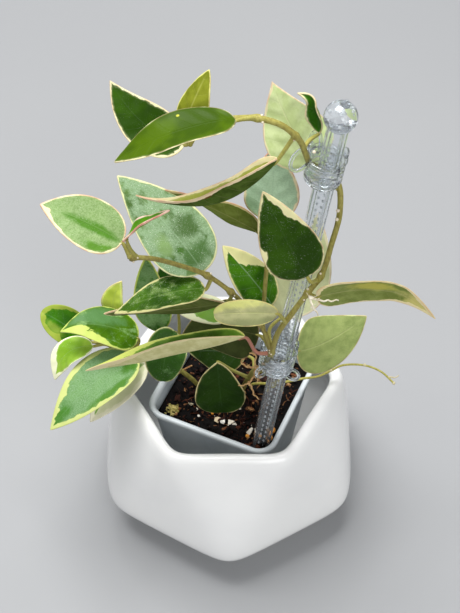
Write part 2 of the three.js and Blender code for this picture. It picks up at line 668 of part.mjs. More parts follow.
place('planter', planter(), 0xeef0f0, 0.15);
place('nursery_pot', nurseryPot(), 0x8d989f, 0.45);
place('soil', soil([stems, stakeRoom, bareShoot(GAP)]), 0x2a1c15, 0.95);
place('stake', stake(), 0xdfe6ea, 0.1);
place('clip_upper', clip(UPPER_CLIP).subtract(stems).subtract(stakeRoom), 0xe4eaee, 0.1);
place('clip_lower', clip(LOWER_CLIP).subtract(stems).subtract(stakeRoom), 0xe4eaee, 0.1);
place('vine_main', mainVine(), 0x7d7a2c, 0.6);
place('vine_low', lowVine(), 0x8a8f4a, 0.6);
place('bare_shoot', bareShoot(), 0xb5ad62, 0.6);
place('roots_low', roots(LOW_KNOT, LOW_ROOTS, 0.6).subtract(stems), 0xb28a5c, 0.8);
place('roots_node', roots(NODE_KNOT, NODE_ROOTS, 0.6).subtract(stems), 0xe6dcc4, 0.8);
for (const [name, leaf] of Object.entries(LEAVES)) {
  place(name, leafBody(leaf, stems), leaf.colour, 0.4);
}

export default plant;
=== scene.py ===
"""A potted climbing hoya: white faceted planter, grey nursery pot, bark mix, clear stake with two
clips, and variegated leaves. Shapes are worked out in millimetres and made in metres."""

import math

import bmesh
import bpy
import numpy as np
from mathutils import Euler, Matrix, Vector


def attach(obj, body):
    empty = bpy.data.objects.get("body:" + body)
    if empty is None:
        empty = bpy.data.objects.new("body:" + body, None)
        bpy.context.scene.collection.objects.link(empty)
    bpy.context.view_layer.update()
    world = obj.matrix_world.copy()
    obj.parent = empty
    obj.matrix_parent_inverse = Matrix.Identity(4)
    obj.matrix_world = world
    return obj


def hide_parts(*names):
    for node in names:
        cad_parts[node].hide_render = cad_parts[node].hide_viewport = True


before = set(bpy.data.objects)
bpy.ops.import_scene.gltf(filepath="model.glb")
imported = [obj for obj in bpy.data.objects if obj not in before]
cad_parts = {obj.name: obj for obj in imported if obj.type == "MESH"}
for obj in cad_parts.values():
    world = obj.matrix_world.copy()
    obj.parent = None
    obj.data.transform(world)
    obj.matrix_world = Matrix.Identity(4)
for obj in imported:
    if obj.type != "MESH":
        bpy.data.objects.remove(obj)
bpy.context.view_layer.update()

MM = 0.001

# Sizes shared with the part's solids, in millimetres
FOOT_R = 50
BELLY_R = 81.5
BELLY_Z = 24
RIM_R = 64
RIM_Z = 96
WALL = 7
FLOOR_Z = 8
ROUNDNESS = 28
POT_SIDE = 75
POT_BASE = 54
POT_CORNER = 11
POT_BASE_CORNER = 6
POT_WALL = 1.1
POT_TOP = 88
POT_TURN = math.radians(-24)
POT_AT = np.array([2.6, 1.2])
LIP = 2
LIP_H = 3.5
SOIL_TOP = 80
STEM_R = 1.35
STALK_R = 1.05
STAKE_W = 8.8
STAKE_D = 5.6
STAKE_RAIL = 1.8
STAKE_WEB = 1.4
BALL_R = 7.4
LEAF_T = 0.9
STAKE_FOOT = np.array([15.2, -34.1, 65])
STAKE_HEAD = np.array([47.2, -22, 313.7])

SEED = 7
rng = np.random.default_rng(SEED)


# Colours and surface finishes


def colour(code):
    """A hex colour as it looks on screen, in the numbers that shaders take."""
    parts = [int(code[k : k + 2], 16) / 255 for k in (0, 2, 4)]
    return tuple([c / 12.92 if c < 0.04045 else ((c + 0.055) / 1.055) ** 2.4 for c in parts] + [1.0])


class Level:
    """A number that changes over a surface. Sums written with it add Math nodes."""

    def __init__(self, finish, socket):
        self.finish = finish
        self.socket = socket

    def _maths(self, operation, *values):
        return self.finish.level("ShaderNodeMath", {"operation": operation}, dict(enumerate(values)))

    def __add__(self, other):
        return self._maths("ADD", self, other)

    __radd__ = __add__

    def __sub__(self, other):
        return self._maths("SUBTRACT", self, other)

    def __rsub__(self, other):
        return self._maths("SUBTRACT", other, self)

    def __mul__(self, other):
        return self._maths("MULTIPLY", self, other)

    __rmul__ = __mul__

    def __truediv__(self, other):
        return self._maths("DIVIDE", self, other)

    def __abs__(self):
        return self._maths("ABSOLUTE", self)

    def root(self):
        return self._maths("SQRT", self)

    def part_of(self, pitch):
        """Where the number stands between two steps of a repeat, from 0 to 1."""
        return self._maths("FRACT", self / pitch)

    def step(self, low, high):
        """0 up to low and 1 from high on. It falls where low is the greater."""
        rise = {"Value": self, "From Min": low, "From Max": high}
        return self.finish.level("ShaderNodeMapRange", {"interpolation_type": "SMOOTHSTEP"}, rise)


class Finish:
    """A material, put together node by node."""

    def __init__(self, name):
        self.material = bpy.data.materials.new(name)
        self.material.use_nodes = True
        self.tree = self.material.node_tree
        self.tree.nodes.clear()

    def node(self, kind, settings=None, sockets=None):
        made = self.tree.nodes.new(kind)
        for key, value in (settings or {}).items():
            if key == "stops":
                ramp = made.color_ramp
                while len(ramp.elements) < len(value):
                    ramp.elements.new(0.5)
                for element, (place, shade) in zip(ramp.elements, value):
                    element.position = place
                    element.color = colour(shade)
            else:
                setattr(made, key, value)
        for key, value in (sockets or {}).items():
            value = getattr(value, "socket", value)
            if isinstance(value, bpy.types.NodeSocket):
                self.tree.links.new(value, made.inputs[key])
            else:
                made.inputs[key].default_value = value
        return made

    def level(self, kind, settings=None, sockets=None, out=0):
        return Level(self, self.node(kind, settings, sockets).outputs[out])

    def figure(self, name):
        """A number kept at each point of the mesh."""
        return self.level("ShaderNodeAttribute", {"attribute_name": name}, out=2)

    def place(self, name):
        """Three numbers kept at each point of the mesh, as one place."""
        return self.node("ShaderNodeAttribute", {"attribute_name": name}).outputs[1]

    def parts(self, place):
        split = self.node("ShaderNodeSeparateXYZ", None, {0: place})
        return [Level(self, out) for out in split.outputs]

    def stretched(self, place, scale, shift=(0, 0, 0)):
        sockets = {0: place, 1: scale, 2: shift}
        return self.node("ShaderNodeVectorMath", {"operation": "MULTIPLY_ADD"}, sockets).outputs[0]

    def solid_place(self):
        """Places in the piece itself, in millimetres."""
        place = self.node("ShaderNodeTexCoord").outputs["Object"]
        return self.stretched(place, (1000, 1000, 1000))

    def noise(self, place, scale, detail=2.0, roughness=0.5):
        sockets = {"Vector": place, "Scale": scale, "Detail": detail, "Roughness": roughness}
        return self.level("ShaderNodeTexNoise", None, sockets)

    def tint(self, first, second, share):
        """The first colour where the share is 0 and the second where it is 1."""
        first, second = [colour(c) if isinstance(c, str) else c for c in (first, second)]
        mixed = self.node("ShaderNodeMix", {"data_type": "RGBA"}, {0: share, 6: first, 7: second})
        return mixed.outputs[2]

    def ramp(self, level, stops):
        return self.node("ShaderNodeValToRGB", {"stops": stops}, {0: level}).outputs[0]

    def bump(self, height, depth, strength=1.0):
        """Relief whose height runs from 0 to 1 over a depth in millimetres."""
        sockets = {"Strength": strength, "Distance": depth * MM, "Height": height}
        return self.node("ShaderNodeBump", None, sockets).outputs[0]

    def shader(self, **sockets):
        named = {key.replace("_", " "): value for key, value in sockets.items()}
        return self.node("ShaderNodeBsdfPrincipled", None, named).outputs[0]

    def close(self, surface):
        self.node("ShaderNodeOutputMaterial", None, {0: surface})
        return self.material


# Lines, skins and pieces


def unit(v):
    return v / np.linalg.norm(v, axis=-1, keepdims=True)


def smooth_line(points, spacing=1.0):
    """Evenly spaced points on a smooth curve through the given ones."""
    given = np.asarray(points, float)
    given = np.vstack([2 * given[0] - given[1], given, 2 * given[-1] - given[-2]])
    curve = []
    for a, b, c, d in zip(given, given[1:], given[2:], given[3:]):
        ab, bc, cd = [max(np.linalg.norm(q - p), 1e-4) ** 0.5 for p, q in ((a, b), (b, c), (c, d))]
        leave = ((b - a) / ab - (c - a) / (ab + bc) + (c - b) / bc) * bc
        arrive = ((c - b) / bc - (d - b) / (bc + cd) + (d - c) / cd) * bc
        u = np.linspace(0, 1, 24, endpoint=False)[:, None]
        curve.append(
            (2 * u**3 - 3 * u**2 + 1) * b
            + (u**3 - 2 * u**2 + u) * leave
            + (3 * u**2 - 2 * u**3) * c
            + (u**3 - u**2) * arrive
        )
    curve = np.vstack([*curve, given[-2:-1]])
    run = np.concatenate([[0], np.cumsum(np.linalg.norm(np.diff(curve, axis=0), axis=1))])
    count = max(4, round(run[-1] / spacing))
    wanted = np.linspace(0, run[-1], count + 1)
    return np.stack([np.interp(wanted, run, curve[:, k]) for k in range(3)], axis=1)


def tube(line, radius, sides=10, closed=False):
    """Rings of points round a line, the radius being one number or one for each point."""
    line = np.asarray(line, float)
    if closed:
        forward = unit(np.roll(line, -1, axis=0) - np.roll(line, 1, axis=0))
    else:
        forward = unit(np.gradient(line, axis=0))
    across = np.empty_like(line)
    aside = np.array([0, 0, 1.0]) if abs(forward[0][2]) < 0.8 else np.array([1.0, 0, 0])
    across[0] = unit(np.cross(forward[0], aside))
    for i in range(1, len(line)):
        across[i] = unit(across[i - 1] - forward[i] * np.dot(across[i - 1], forward[i]))
    other = np.cross(forward, across)
    angle = 2 * math.pi * np.arange(sides)[None, :, None] / sides
    reach = np.broadcast_to(np.asarray(radius, float), len(line))[:, None, None]
    return line[:, None] + reach * (np.cos(angle) * across[:, None] + np.sin(angle) * other[:, None])


def skin(rings, closed=False):
    """Points and faces of a skin over rings, each ring counted anticlockwise as seen from the
    next. The ends are closed, or joined to each other."""
    rings = np.asarray(rings, float)
    rows, count = rings.shape[:2]
    points = rings.reshape(-1, 3)
    faces = []
    for i in range(rows if closed else rows - 1):
        up = (i + 1) % rows * count
        for j in range(count):
            k = (j + 1) % count
            faces.append((i * count + j, i * count + k, up + k, up + j))
    if not closed:
        points = np.vstack([points, rings[0].mean(0), rings[-1].mean(0)])
        first, last, top = rows * count, rows * count + 1, (rows - 1) * count
        for j in range(count):
            k = (j + 1) % count
            faces += [(first, k, j), (last, top + j, top + k)]
    return points, faces


def round_ring(radius, z, sides):
    """A level circle of points round the upright axis."""
    angle = 2 * math.pi * np.arange(sides) / sides
    return np.column_stack([radius * np.cos(angle), radius * np.sin(angle), np.full(sides, float(z))])


def ball(at, radius, squash=1.0, sides=14):
    rows = np.linspace(-0.985, 0.985, 11)
    rings = [round_ring(math.sqrt(1 - h * h), h * squash, sides) for h in rows]
    return skin(np.array(rings) * radius + np.array(at))


def lathe(profile, sides=56):
    """A closed profile of radius and height, turned round the upright axis."""
    return skin([round_ring(r, z, sides) for r, z in profile], closed=True)


def upright_loop(wide, high, count):
    """Points round an oval that stands on edge."""
    turn = 2 * math.pi * np.arange(count) / count
    return np.column_stack([wide * np.cos(turn), 0 * turn, high * np.sin(turn)])


def rotation(roll, pitch, yaw):
    return Euler((roll, pitch, yaw)).to_matrix()


class Form:
    """Points, faces and the figures at each point that a finish reads, joined in one mesh."""

    def __init__(self):
        self.points = []
        self.faces = []
        self.figures = []
        self.count = 0

    def add(self, shape, **figures):
        points, faces = shape
        self.points.append(points)
        self.faces += [tuple(k + self.count for k in face) for face in faces]
        self.figures.append({key: np.asarray(value, float) for key, value in figures.items()})
        self.count += len(points)
        return self

    def make(self, name, material, slot, *nodes, crease=None):
        """Makes the piece. It rides on the part's one body, in the place of these nodes. A crease
        of 0 leaves every face flat, and any other number is the angle from which an edge is sharp."""
        mesh = bpy.data.meshes.new(name)
        points = np.vstack(self.points)
        mesh.from_pydata((points * MM).tolist(), [], self.faces)
        for key in self.figures[0]:
            columns = []
            for points_of, figures in zip(self.points, self.figures):
                wide = figures[key].shape[-1:] if figures[key].ndim else ()
                shape = (len(points_of), 3) if wide == (3,) else (len(points_of),)
                columns.append(np.broadcast_to(figures[key], shape))
            values = np.concatenate(columns)
            kind, slots = ("FLOAT_VECTOR", "vector") if values.ndim == 2 else ("FLOAT", "value")
            mesh.attributes.new(key, kind, "POINT").data.foreach_set(slots, values.ravel())
        mesh.polygons.foreach_set("use_smooth", [crease != 0] * len(mesh.polygons))
        if crease:
            mesh.set_sharp_from_angle(angle=math.radians(crease))
        mesh.materials.append(material)
        mesh.update()
        piece = bpy.data.objects.new(name, mesh)
        bpy.context.scene.collection.objects.link(piece)
        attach(piece, "root")
        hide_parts(*nodes)


# Planter

# The faces run up to here, and the lip rolls over above them
FACES_TO = RIM_Z - 3
# Heights, and the share of the roundness number at each. A smaller number makes softer edges.
ROUNDNESS_SHARES = ([0, BELLY_Z + 6, RIM_Z], [0.6, 0.7, 1])
# A face that leans away from a direction doesn't bound the planter in it
LEAST_LEAN = 0.05
UNBOUNDED = 1e6


def planter_planes():
    """Outward planes of the planter's faces, as normals and constants."""

    def corner(radius, turns, z):
        angle = turns * math.pi / 3
        return np.array([radius * math.sin(angle), -radius * math.cos(angle), z])

    found = []
    for k in range(6):
        belly, next_belly = corner(BELLY_R, k, BELLY_Z), corner(BELLY_R, k + 1, BELLY_Z)
        rim, next_rim = corner(RIM_R, k + 0.5, RIM_Z), corner(RIM_R, k + 1.5, RIM_Z)
        for a, b, c in (
            (belly, next_belly, rim),
            (next_belly, rim, next_rim),
            (belly, next_belly, corner(FOOT_R, k, 0)),
        ):
            normal = unit(np.cross(b - a, c - a))
            if np.dot(normal, np.array([0, 0, BELLY_Z]) - a) > 0:
                normal = -normal
            found.append((normal, -np.dot(normal, a)))
    return np.array([n for n, _ in found]), np.array([c for _, c in found])


def planter_ring(planes, z, inset, sides=216):
    """A ring on the planter, set in from its outside."""
    normals, constants = planes
    angle = 2 * math.pi * np.arange(sides) / sides
    out = np.stack([np.cos(angle), np.sin(angle)])
    lean = normals[:, :2] @ out
    height = min(z, FACES_TO)
    to_face = (-constants[:, None] - normals[:, 2:3] * height) / np.maximum(lean, LEAST_LEAN)
    reach = np.where(lean > LEAST_LEAN, to_face, UNBOUNDED)
    sharpness = ROUNDNESS * np.interp(height, *ROUNDNESS_SHARES)
    r = (reach**-sharpness).sum(0) ** (-1 / sharpness) - inset
    return np.stack([r * out[0], r * out[1], np.full(sides, float(z))], axis=1)


def planter():
    """Rings from the foot up the outside, over the lip and down the inside to the floor."""
    planes = planter_planes()
    foot = [(0, 2.2), (0.4, 1.3), (1.2, 0.6), (2.6, 0.15)]
    outside = [(z, 0) for z in np.arange(4, RIM_Z - 6, 1.5)]
    # How far below the rim, and how far in from the outside
    lip = [(4.5, 0.1), (2.7, 0.5), (1.3, 1.4), (0.4, 2.6), (0, 4)]
    lip += [(0.2, 5.4), (1.1, 6.6), (2.6, 7.4), (4.5, 7.7), (6.5, 7.5)]
    over = [(RIM_Z - drop, inset) for drop, inset in lip]
    inside = [(z, WALL) for z in (86, 80, 70, 60, 50, 40, 34)]
    inside += [(26, WALL + 2), (18, WALL + 4), (FLOOR_Z, WALL + 5)]
    rings = [planter_ring(planes, z, inset) for z, inset in foot + outside + over + inside]
    Form().add(skin(rings)).make("planter_body", glaze(), "planter", "planter")


def glaze():
    f = Finish("white glaze")
    place = f.solid_place()
    cloud = f.noise(place, 0.02, 3)
    pits = f.noise(place, 0.9, 2).step(0.72, 0.8)
    pool = f.noise(place, 0.06, 2)
    shade = f.tint(f.tint("efefee", "f5f5f3", cloud.step(0.3, 0.7)), "d9d8d4", pits * 0.35)
    surface = f.shader(
        Base_Color=shade,
        Roughness=0.14 + 0.1 * cloud,
        Coat_Weight=0.5,
        Coat_Roughness=0.06,
        Specular_IOR_Level=0.5,
        Normal=f.bump(pool + 0.1 * pits, 0.5, 0.25),
    )
    return f.close(surface)


# Nursery pot and soil


def square_ring(side, corner, z, per_corner=10):
    """A square ring with round corners, placed in the planter."""
    flat = side / 2 - corner
    quarter = np.repeat(np.arange(4), per_corner + 1)
    share = np.tile(np.arange(per_corner + 1) / per_corner, 4)
    angle = (quarter + share) * math.pi / 2
    u = np.array([1, -1, -1, 1])[quarter] * flat + corner * np.cos(angle)
    v = np.array([1, 1, -1, -1])[quarter] * flat + corner * np.sin(angle)
    return np.column_stack([turned(u, v), np.broadcast_to(z, u.shape)])


def turned(u, v):
    """Places in the nursery pot's own square, moved to where the pot stands."""
    x = u * math.cos(POT_TURN) - v * math.sin(POT_TURN) + POT_AT[0]
    y = u * math.sin(POT_TURN) + v * math.cos(POT_TURN) + POT_AT[1]
    return np.stack([x, y], axis=-1)


def pot_ring(z, inset):
    """A ring on the tapered wall below the rim, set in from its outside."""
    share = (z - FLOOR_Z) / (POT_TOP - FLOOR_Z)
    side = POT_BASE + (POT_SIDE - 2 * LIP - POT_BASE) * share
    corner = POT_BASE_CORNER + (POT_CORNER - LIP - POT_BASE_CORNER) * share
    return square_ring(side - 2 * inset, max(2, corner - inset), z)


def nursery_pot():
    bottom = FLOOR_Z + 0.3
    below = POT_TOP - LIP_H

    def lip(z, inset):
        return square_ring(POT_SIDE - 2 * inset, POT_CORNER - inset, z)

    rings = [pot_ring(bottom, 0.8), pot_ring(bottom + 0.8, 0)]
    rings += [pot_ring(z, 0) for z in np.linspace(bottom + 4, below - 0.4, 16)]
    rings += [pot_ring(below - 0.1, -0.3)]
    rings += [lip(below + up, inset) for up, inset in ((-0.05, 0.9), (0.2, 0.35), (1, 0.1))]
    rolled = [(1, 0.05), (0.3, 0.35), (0, 0.9), (0.1, 2.0), (0.5, 2.7)]
    rings += [lip(POT_TOP - drop, inset) for drop, inset in rolled]
    rings += [pot_ring(POT_TOP - 1.3, POT_WALL)]
    rings += [pot_ring(z, POT_WALL) for z in np.linspace(below, bottom + 3, 12)]
    rings += [pot_ring(bottom + 1.5, POT_WALL)]
    form = Form().add(skin(rings))
    form.make("nursery_pot_shell", grey_plastic(), "nursery_pot", "nursery_pot", crease=50)


def grey_plastic():
    f = Finish("grey plastic")
    place = f.solid_place()
    height = f.parts(place)[2]
    cloud = f.noise(f.stretched(place, (1, 1, 0.35)), 0.07, 3)
    scuffs = f.noise(f.stretched(place, (1, 1, 0.12)), 0.8, 3, 0.6).step(0.6, 0.78)
    # Painted light: the rolled lip and the wall above its foot are painted paler, as if lit, against the
    # shaded wall below
    painted_light_rim = height.step(POT_TOP - LIP_H - 0.5, POT_TOP - LIP_H + 0.4)
    wall = f.tint("b4bec4", "c6ced3", cloud.step(0.3, 0.7))
    dusty = f.tint(wall, "d8dddf", scuffs * 0.35)
    shade = f.tint(dusty, "d0d6d9", painted_light_rim)
    surface = f.shader(
        Base_Color=shade,
        Roughness=0.36 + 0.2 * cloud,
        Specular_IOR_Level=0.5,
        Normal=f.bump(cloud + 0.2 * scuffs, 0.4, 0.3),
    )
    return f.close(surface)


# How many loose pieces lie on the mix. The first chips to be laid are the large ones.
CHIPS = 1150
LARGE_CHIPS = 201
FINE_GRIT = 24
FIBRES = 190
MOSS_TUFTS = 80
# Where the larger grit and the feed lie, and how long or how wide each is
GRIT_SPOTS = [
    (-20.8, -8, 2.8), (-16.5, -17, 1.9), (-6.4, -19.2, 4.4), (-3.4, -20.4, 3.4), (0.8, -21.4, 4.4),
    (2.8, -22.6, 2.8), (-17.5, -12.5, 1.6), (6, -12, 1.6), (-14.3, -0.6, 1.5), (11.5, -27, 4.6),
]
PRILL_SPOTS = [
    (23.4, -25, 1.9), (22.3, -29.6, 1.5), (16.5, -28.2, 1.4), (10, -29.4, 1.1), (-9, -14, 0.9),
]
MOSS_AT = np.array([-30.8, -11.6])


def bed_height(x, y):
    """Height of the loose mix under the chips."""
    broad = np.sin(0.31 * x + 1.3) * np.sin(0.27 * y)
    fine = 0.6 * np.sin(0.83 * x + 0.4 * y) * np.sin(0.71 * y + 2)
    return SOIL_TOP - 1.6 + 0.7 * (broad + fine)


def soil_bed():
    top = pot_ring(SOIL_TOP - 3, POT_WALL + 0.3)
    rings = [pot_ring(10.2, POT_WALL + 0.3), top]
    for share in (0.985, 0.93, 0.85, 0.76, 0.66, 0.55, 0.44, 0.33, 0.22, 0.11):
        ring = top.copy()
        ring[:, :2] = POT_AT + (top[:, :2] - POT_AT) * share
        ring[:, 2] = bed_height(ring[:, 0], ring[:, 1]) - (1.2 if share > 0.98 else 0)
        rings.append(ring)
    Form().add(skin(rings), tone=0.08).make("bark_bed", bark(), "soil", "soil")


def chip(size, at):
    """An angular chip: the hull of eleven points in a flat lump, turned at random."""
    cloud = unit(rng.normal(size=(11, 3))) * (0.75 + 0.25 * rng.random((11, 1))) * size / 2
    yaw, roll, pitch = 2 * math.pi * rng.random(), 1.5 * (rng.random() - 0.5), 1.5 * (rng.random() - 0.5)
    turn = rotation(roll, pitch, yaw)
    hull = bmesh.new()
    for p in cloud:
        hull.verts.new((turn @ Vector(p)) + Vector(at))
    made = bmesh.ops.convex_hull(hull, input=hull.verts)
    bmesh.ops.delete(hull, geom=list(set(made["geom_interior"] + made["geom_unused"])), context="VERTS")
    hull.verts.index_update()
    points = np.array([v.co[:] for v in hull.verts])
    faces = [tuple(v.index for v in face.verts) for face in hull.faces]
    hull.free()
    return points, faces


def scattered(reach=31.0):
    """A random place on the mix, inside the nursery pot."""
    u, v = (2 * rng.random(2) - 1) * reach
    x, y = turned(np.array(u), np.array(v))
    return x, y, bed_height(x, y)


def bark_chips():
    form = Form()
    for k in range(CHIPS):
        long = 3.5 + 5 * rng.random() if k < LARGE_CHIPS else 1.0 + 3.0 * rng.random() ** 1.5
        x, y, z = scattered(32 - long / 2)
        size = np.array([long, long * (0.3 + 0.35 * rng.random()), long * (0.2 + 0.25 * rng.random())])
        form.add(chip(size, (x, y, z + 0.2 + 2.2 * rng.random())), tone=rng.random() ** 1.5)
    form.make("bark_chips", bark(), "soil", "soil", crease=0)


def grit():
    form = Form()
    for x, y, long in GRIT_SPOTS:
        form.add(chip(long * np.array([1.35, 1, 0.9]), (x, y, bed_height(x, y) + 2.4)), tone=rng.random())
    for _ in range(FINE_GRIT):
        x, y, z = scattered()
        long = 0.4 + 0.8 * rng.random() ** 2
        form.add(chip(np.array([long, long, long * 0.8]), (x, y, z + 1.1)), tone=rng.random())
    form.make("pale_grit", pale_grit(), "soil", "soil", crease=0)


def prills():
    form = Form()
    for x, y, r in PRILL_SPOTS:
        form.add(ball((x, y, bed_height(x, y) + 1.2), r))
    form.make("feed_prills", prill_shell(), "soil", "soil")


def fibres():
    """Thin shreds of bark that wander over the mix, and one thicker twig."""
    form = Form()
    for _ in range(FIBRES):
        x, y, z = scattered(30)
        heading = 2 * math.pi * rng.random()
        step = 1.2 + 1.6 * rng.random()
        line = [np.array([x, y, z + 0.8])]
        for _ in range(4):
            heading += 1.1 * (rng.random() - 0.5)
            rise = 0.5 * (rng.random() - 0.4)
            line.append(line[-1] + [step * math.cos(heading), step * math.sin(heading), rise])
        inside = [p for p in line if abs(p[0] - POT_AT[0]) + abs(p[1] - POT_AT[1]) < 40]
        if len(inside) < 4:
            continue
        curve = smooth_line(inside, 0.8)
        taper = 0.07 + 0.13 * np.sin(np.linspace(0.3, 2.9, len(curve)))
        form.add(skin(tube(curve, taper, 5)), tone=0.35 + 0.65 * rng.random() ** 1.5)
    twig = smooth_line([(-29.6, 10.5, 80), (-25.5, 13, 82.2), (-20.5, 15.5, 83)], 1)
    form.add(skin(tube(twig, 0.5, 7)), tone=1.0)
    form.make("bark_fibres", bark(), "soil", "soil")


def moss_lump():
    form = Form()
    for _ in range(MOSS_TUFTS):
        aside = 1.5 * rng.normal(size=2)
        x, y = MOSS_AT + aside
        crown = bed_height(x, y) + 0.4 + 1.9 * math.exp(-np.dot(aside, aside) / 5)
        form.add(ball((x, y, crown), 0.45 + 0.5 * rng.random(), 0.9, 8), tone=rng.random())
    form.make("moss_lump", moss_green(), "soil", "soil")


def bark():
    f = Finish("bark")
    place = f.solid_place()
    tone = f.figure("tone")
    grain = f.noise(f.stretched(place, (1, 1, 2.4)), 0.9, 4, 0.65)
    dust = f.noise(place, 2.4, 3).step(0.56, 0.74)
    mixed = tone * 0.95 + (grain - 0.5) * 0.5
    stops = [(0, "040303"), (0.36, "0e0807"), (0.6, "2f1812")]
    stops += [(0.8, "5a2e1e"), (0.93, "8f6440"), (1, "bb9666")]
    shade = f.tint(f.ramp(mixed, stops), "6a5544", dust * 0.07)
    surface = f.shader(
        Base_Color=shade,
        Roughness=0.62 + 0.3 * grain,
        Specular_IOR_Level=0.15,
        Normal=f.bump(grain, 0.5, 0.7),
    )
    return f.close(surface)


def pale_grit():
    f = Finish("pale grit")
    place = f.solid_place()
    pores = f.noise(place, 1.6, 3)
    shade = f.tint(f.tint("c9b48c", "f0ece2", f.figure("tone")), "8c7862", pores.step(0.56, 0.74) * 0.7)
    return f.close(f.shader(Base_Color=shade, Roughness=0.85, Normal=f.bump(pores, 0.4, 0.7)))


def prill_shell():
    f = Finish("amber prill")
    speck = f.noise(f.solid_place(), 1.5, 2)
    shade = f.tint("d07c1e", "f0a83e", speck.step(0.35, 0.65))
    return f.close(f.shader(Base_Color=shade, Roughness=0.32, Normal=f.bump(speck, 0.1, 0.4)))


def moss_green():
    f = Finish("moss")
    grain = f.noise(f.solid_place(), 1.2, 2)
    shade = f.tint(f.tint("9c8f44", "d8c67c", f.figure("tone")), "55601c", grain.step(0.5, 0.7) * 0.5)
    return f.close(f.shader(Base_Color=shade, Roughness=0.7, Normal=f.bump(grain, 0.2, 0.5)))


# Stake and clips

STAKE_LINE = STAKE_HEAD - STAKE_FOOT
STAKE_LENGTH = float(np.linalg.norm(STAKE_LINE))
STAKE_TURN = np.array(Vector((0, 0, 1)).rotation_difference(Vector(STAKE_LINE)).to_matrix())
# Low pimples on both faces of the web, in two rows that take turns
PIMPLES = 118
PIMPLE_R = 0.5
PIMPLE_FLATNESS = 0.75
PIMPLE_ASIDE = 1.15
PIMPLE_PITCH = 1.95
PIMPLES_FROM = 4
BUBBLES = 26
CLIP_WALL = 1.1
RIB_HEIGHT = 0.8
# As a share of the barrel's depth
RIB_PITCH = 0.225
TOOTH_T = 0.9


def on_stake(points, height):
    """Moves points from the upright axis to the stake's line, that far up it."""
    return np.asarray(points) @ STAKE_TURN.T + STAKE_FOOT + STAKE_LINE * (height / STAKE_LENGTH)


def rounded(outline, radius, steps=3):
    """An outline with its corners cut to small arcs."""
    outline = np.asarray(outline, float)
    found = []
    for before, at, after in zip(np.roll(outline, 1, 0), outline, np.roll(outline, -1, 0)):
        start, end = at + unit(before - at) * radius, at + unit(after - at) * radius
        for u in np.linspace(0, 1, steps + 1):
            found.append((1 - u) ** 2 * start + 2 * u * (1 - u) * at + u**2 * end)
    return np.array(found)


def stake_bar():
    """Two rails with a thin web between them, the ball on top and the nub on the ball."""
    w, d, inner, web = STAKE_W / 2, STAKE_D / 2, STAKE_W / 2 - STAKE_RAIL, STAKE_WEB / 2
    quarter = [(w, d), (inner, d), (inner, web)]
    half = quarter + [(-x, y) for x, y in reversed(quarter)]
    outline = rounded(half + [(-x, -y) for x, y in half], 0.3)
    heights = np.linspace(0, STAKE_LENGTH - 3, 40)
    bar = np.array([np.column_stack([outline, np.full(len(outline), z)]) for z in heights])
    rows = np.sin(np.linspace(-1.5, 1.5, 33))
    sphere = np.array([round_ring(math.sqrt(1 - h * h), h, 48) for h in rows])
    # Radius, and height above the top of the ball
    nub = [(2.1, -0.9), (1.7, 0.5), (1.1, 1.5), (0.5, 2.3), (0.15, 2.5)]
    rings = np.array([round_ring(r, BALL_R + above, 16) for r, above in nub])
    lean = np.array(rotation(0, 0.1, 0))
    form = Form().add(skin(on_stake(bar, 0)))
    form.add(skin(on_stake(sphere * BALL_R, STAKE_LENGTH)))
    form.add(skin(on_stake(rings @ lean.T, STAKE_LENGTH)))
    form.make("stake_bar", clear_plastic("clear stake"), "clear_plastic", "stake", crease=40)


def stake_pimples():
    form = Form()
    for k in range(PIMPLES):
        across = PIMPLE_ASIDE * (1 if k % 2 else -1)
        for face_y in (-STAKE_WEB / 2, STAKE_WEB / 2):
            points, faces = ball((across, face_y, 0), PIMPLE_R, 1.0, 8)
            points[:, 1] = face_y + (points[:, 1] - face_y) * PIMPLE_FLATNESS
            form.add((on_stake(points, PIMPLES_FROM + PIMPLE_PITCH * k), faces))
    form.make("stake_pimples", clear_plastic("stake pimples", 0.55), "clear_plastic", "stake")


def ball_bubbles():
    form = Form()
    for _ in range(BUBBLES):
        at = unit(rng.normal(size=3)) * BALL_R * 0.62 * rng.random() ** 0.4
        points, faces = ball(at, 0.35 + 0.5 * rng.random(), 0.5 + rng.random(), 8)
        form.add((on_stake(points, STAKE_LENGTH), faces))
    form.make("ball_bubbles", milky_plastic(), "clear_plastic", "stake")


def barrel(radius, depth):
    """A ribbed sleeve with a flared mouth."""
    bore = radius - CLIP_WALL
    levels = np.linspace(-0.5, 0.4, 64)
    swell = (0.5 - 0.5 * np.cos(2 * math.pi * levels / RIB_PITCH)) ** 0.6
    ribs = list(zip(radius + RIB_HEIGHT * swell, levels * depth))
    mouth = [(radius + 0.7, 0.44 * depth), (radius + 1.2, 0.5 * depth), (radius + 0.6, 0.52 * depth)]
    inner = [(bore + 0.9, 0.48 * depth), (bore, 0.38 * depth), (bore, -0.49 * depth)]
    return lathe([*ribs, *mouth, *inner])


def tooth(around, radius, depth):
    """A rounded flap on the mouth that leans outward."""
    rings = []
    for row in np.linspace(0, 1, 7):
        wide = 2.7 * math.sqrt(max(0.02, 1 - row**2.2))
        reach = radius + 0.6 + 0.9 * row
        arc = around + np.linspace(-1, 1, 7) * wide / reach
        outer, inner = reach + TOOTH_T / 2, reach - TOOTH_T / 2
        front = np.column_stack([outer * np.cos(arc), outer * np.sin(arc)])
        back = np.column_stack([inner * np.cos(arc), inner * np.sin(arc)])[::-1]
        ring = np.vstack([front, back])
        rings.append(np.column_stack([ring, np.full(len(ring), 0.42 * depth + 3.6 * row)]))
    return skin(rings)


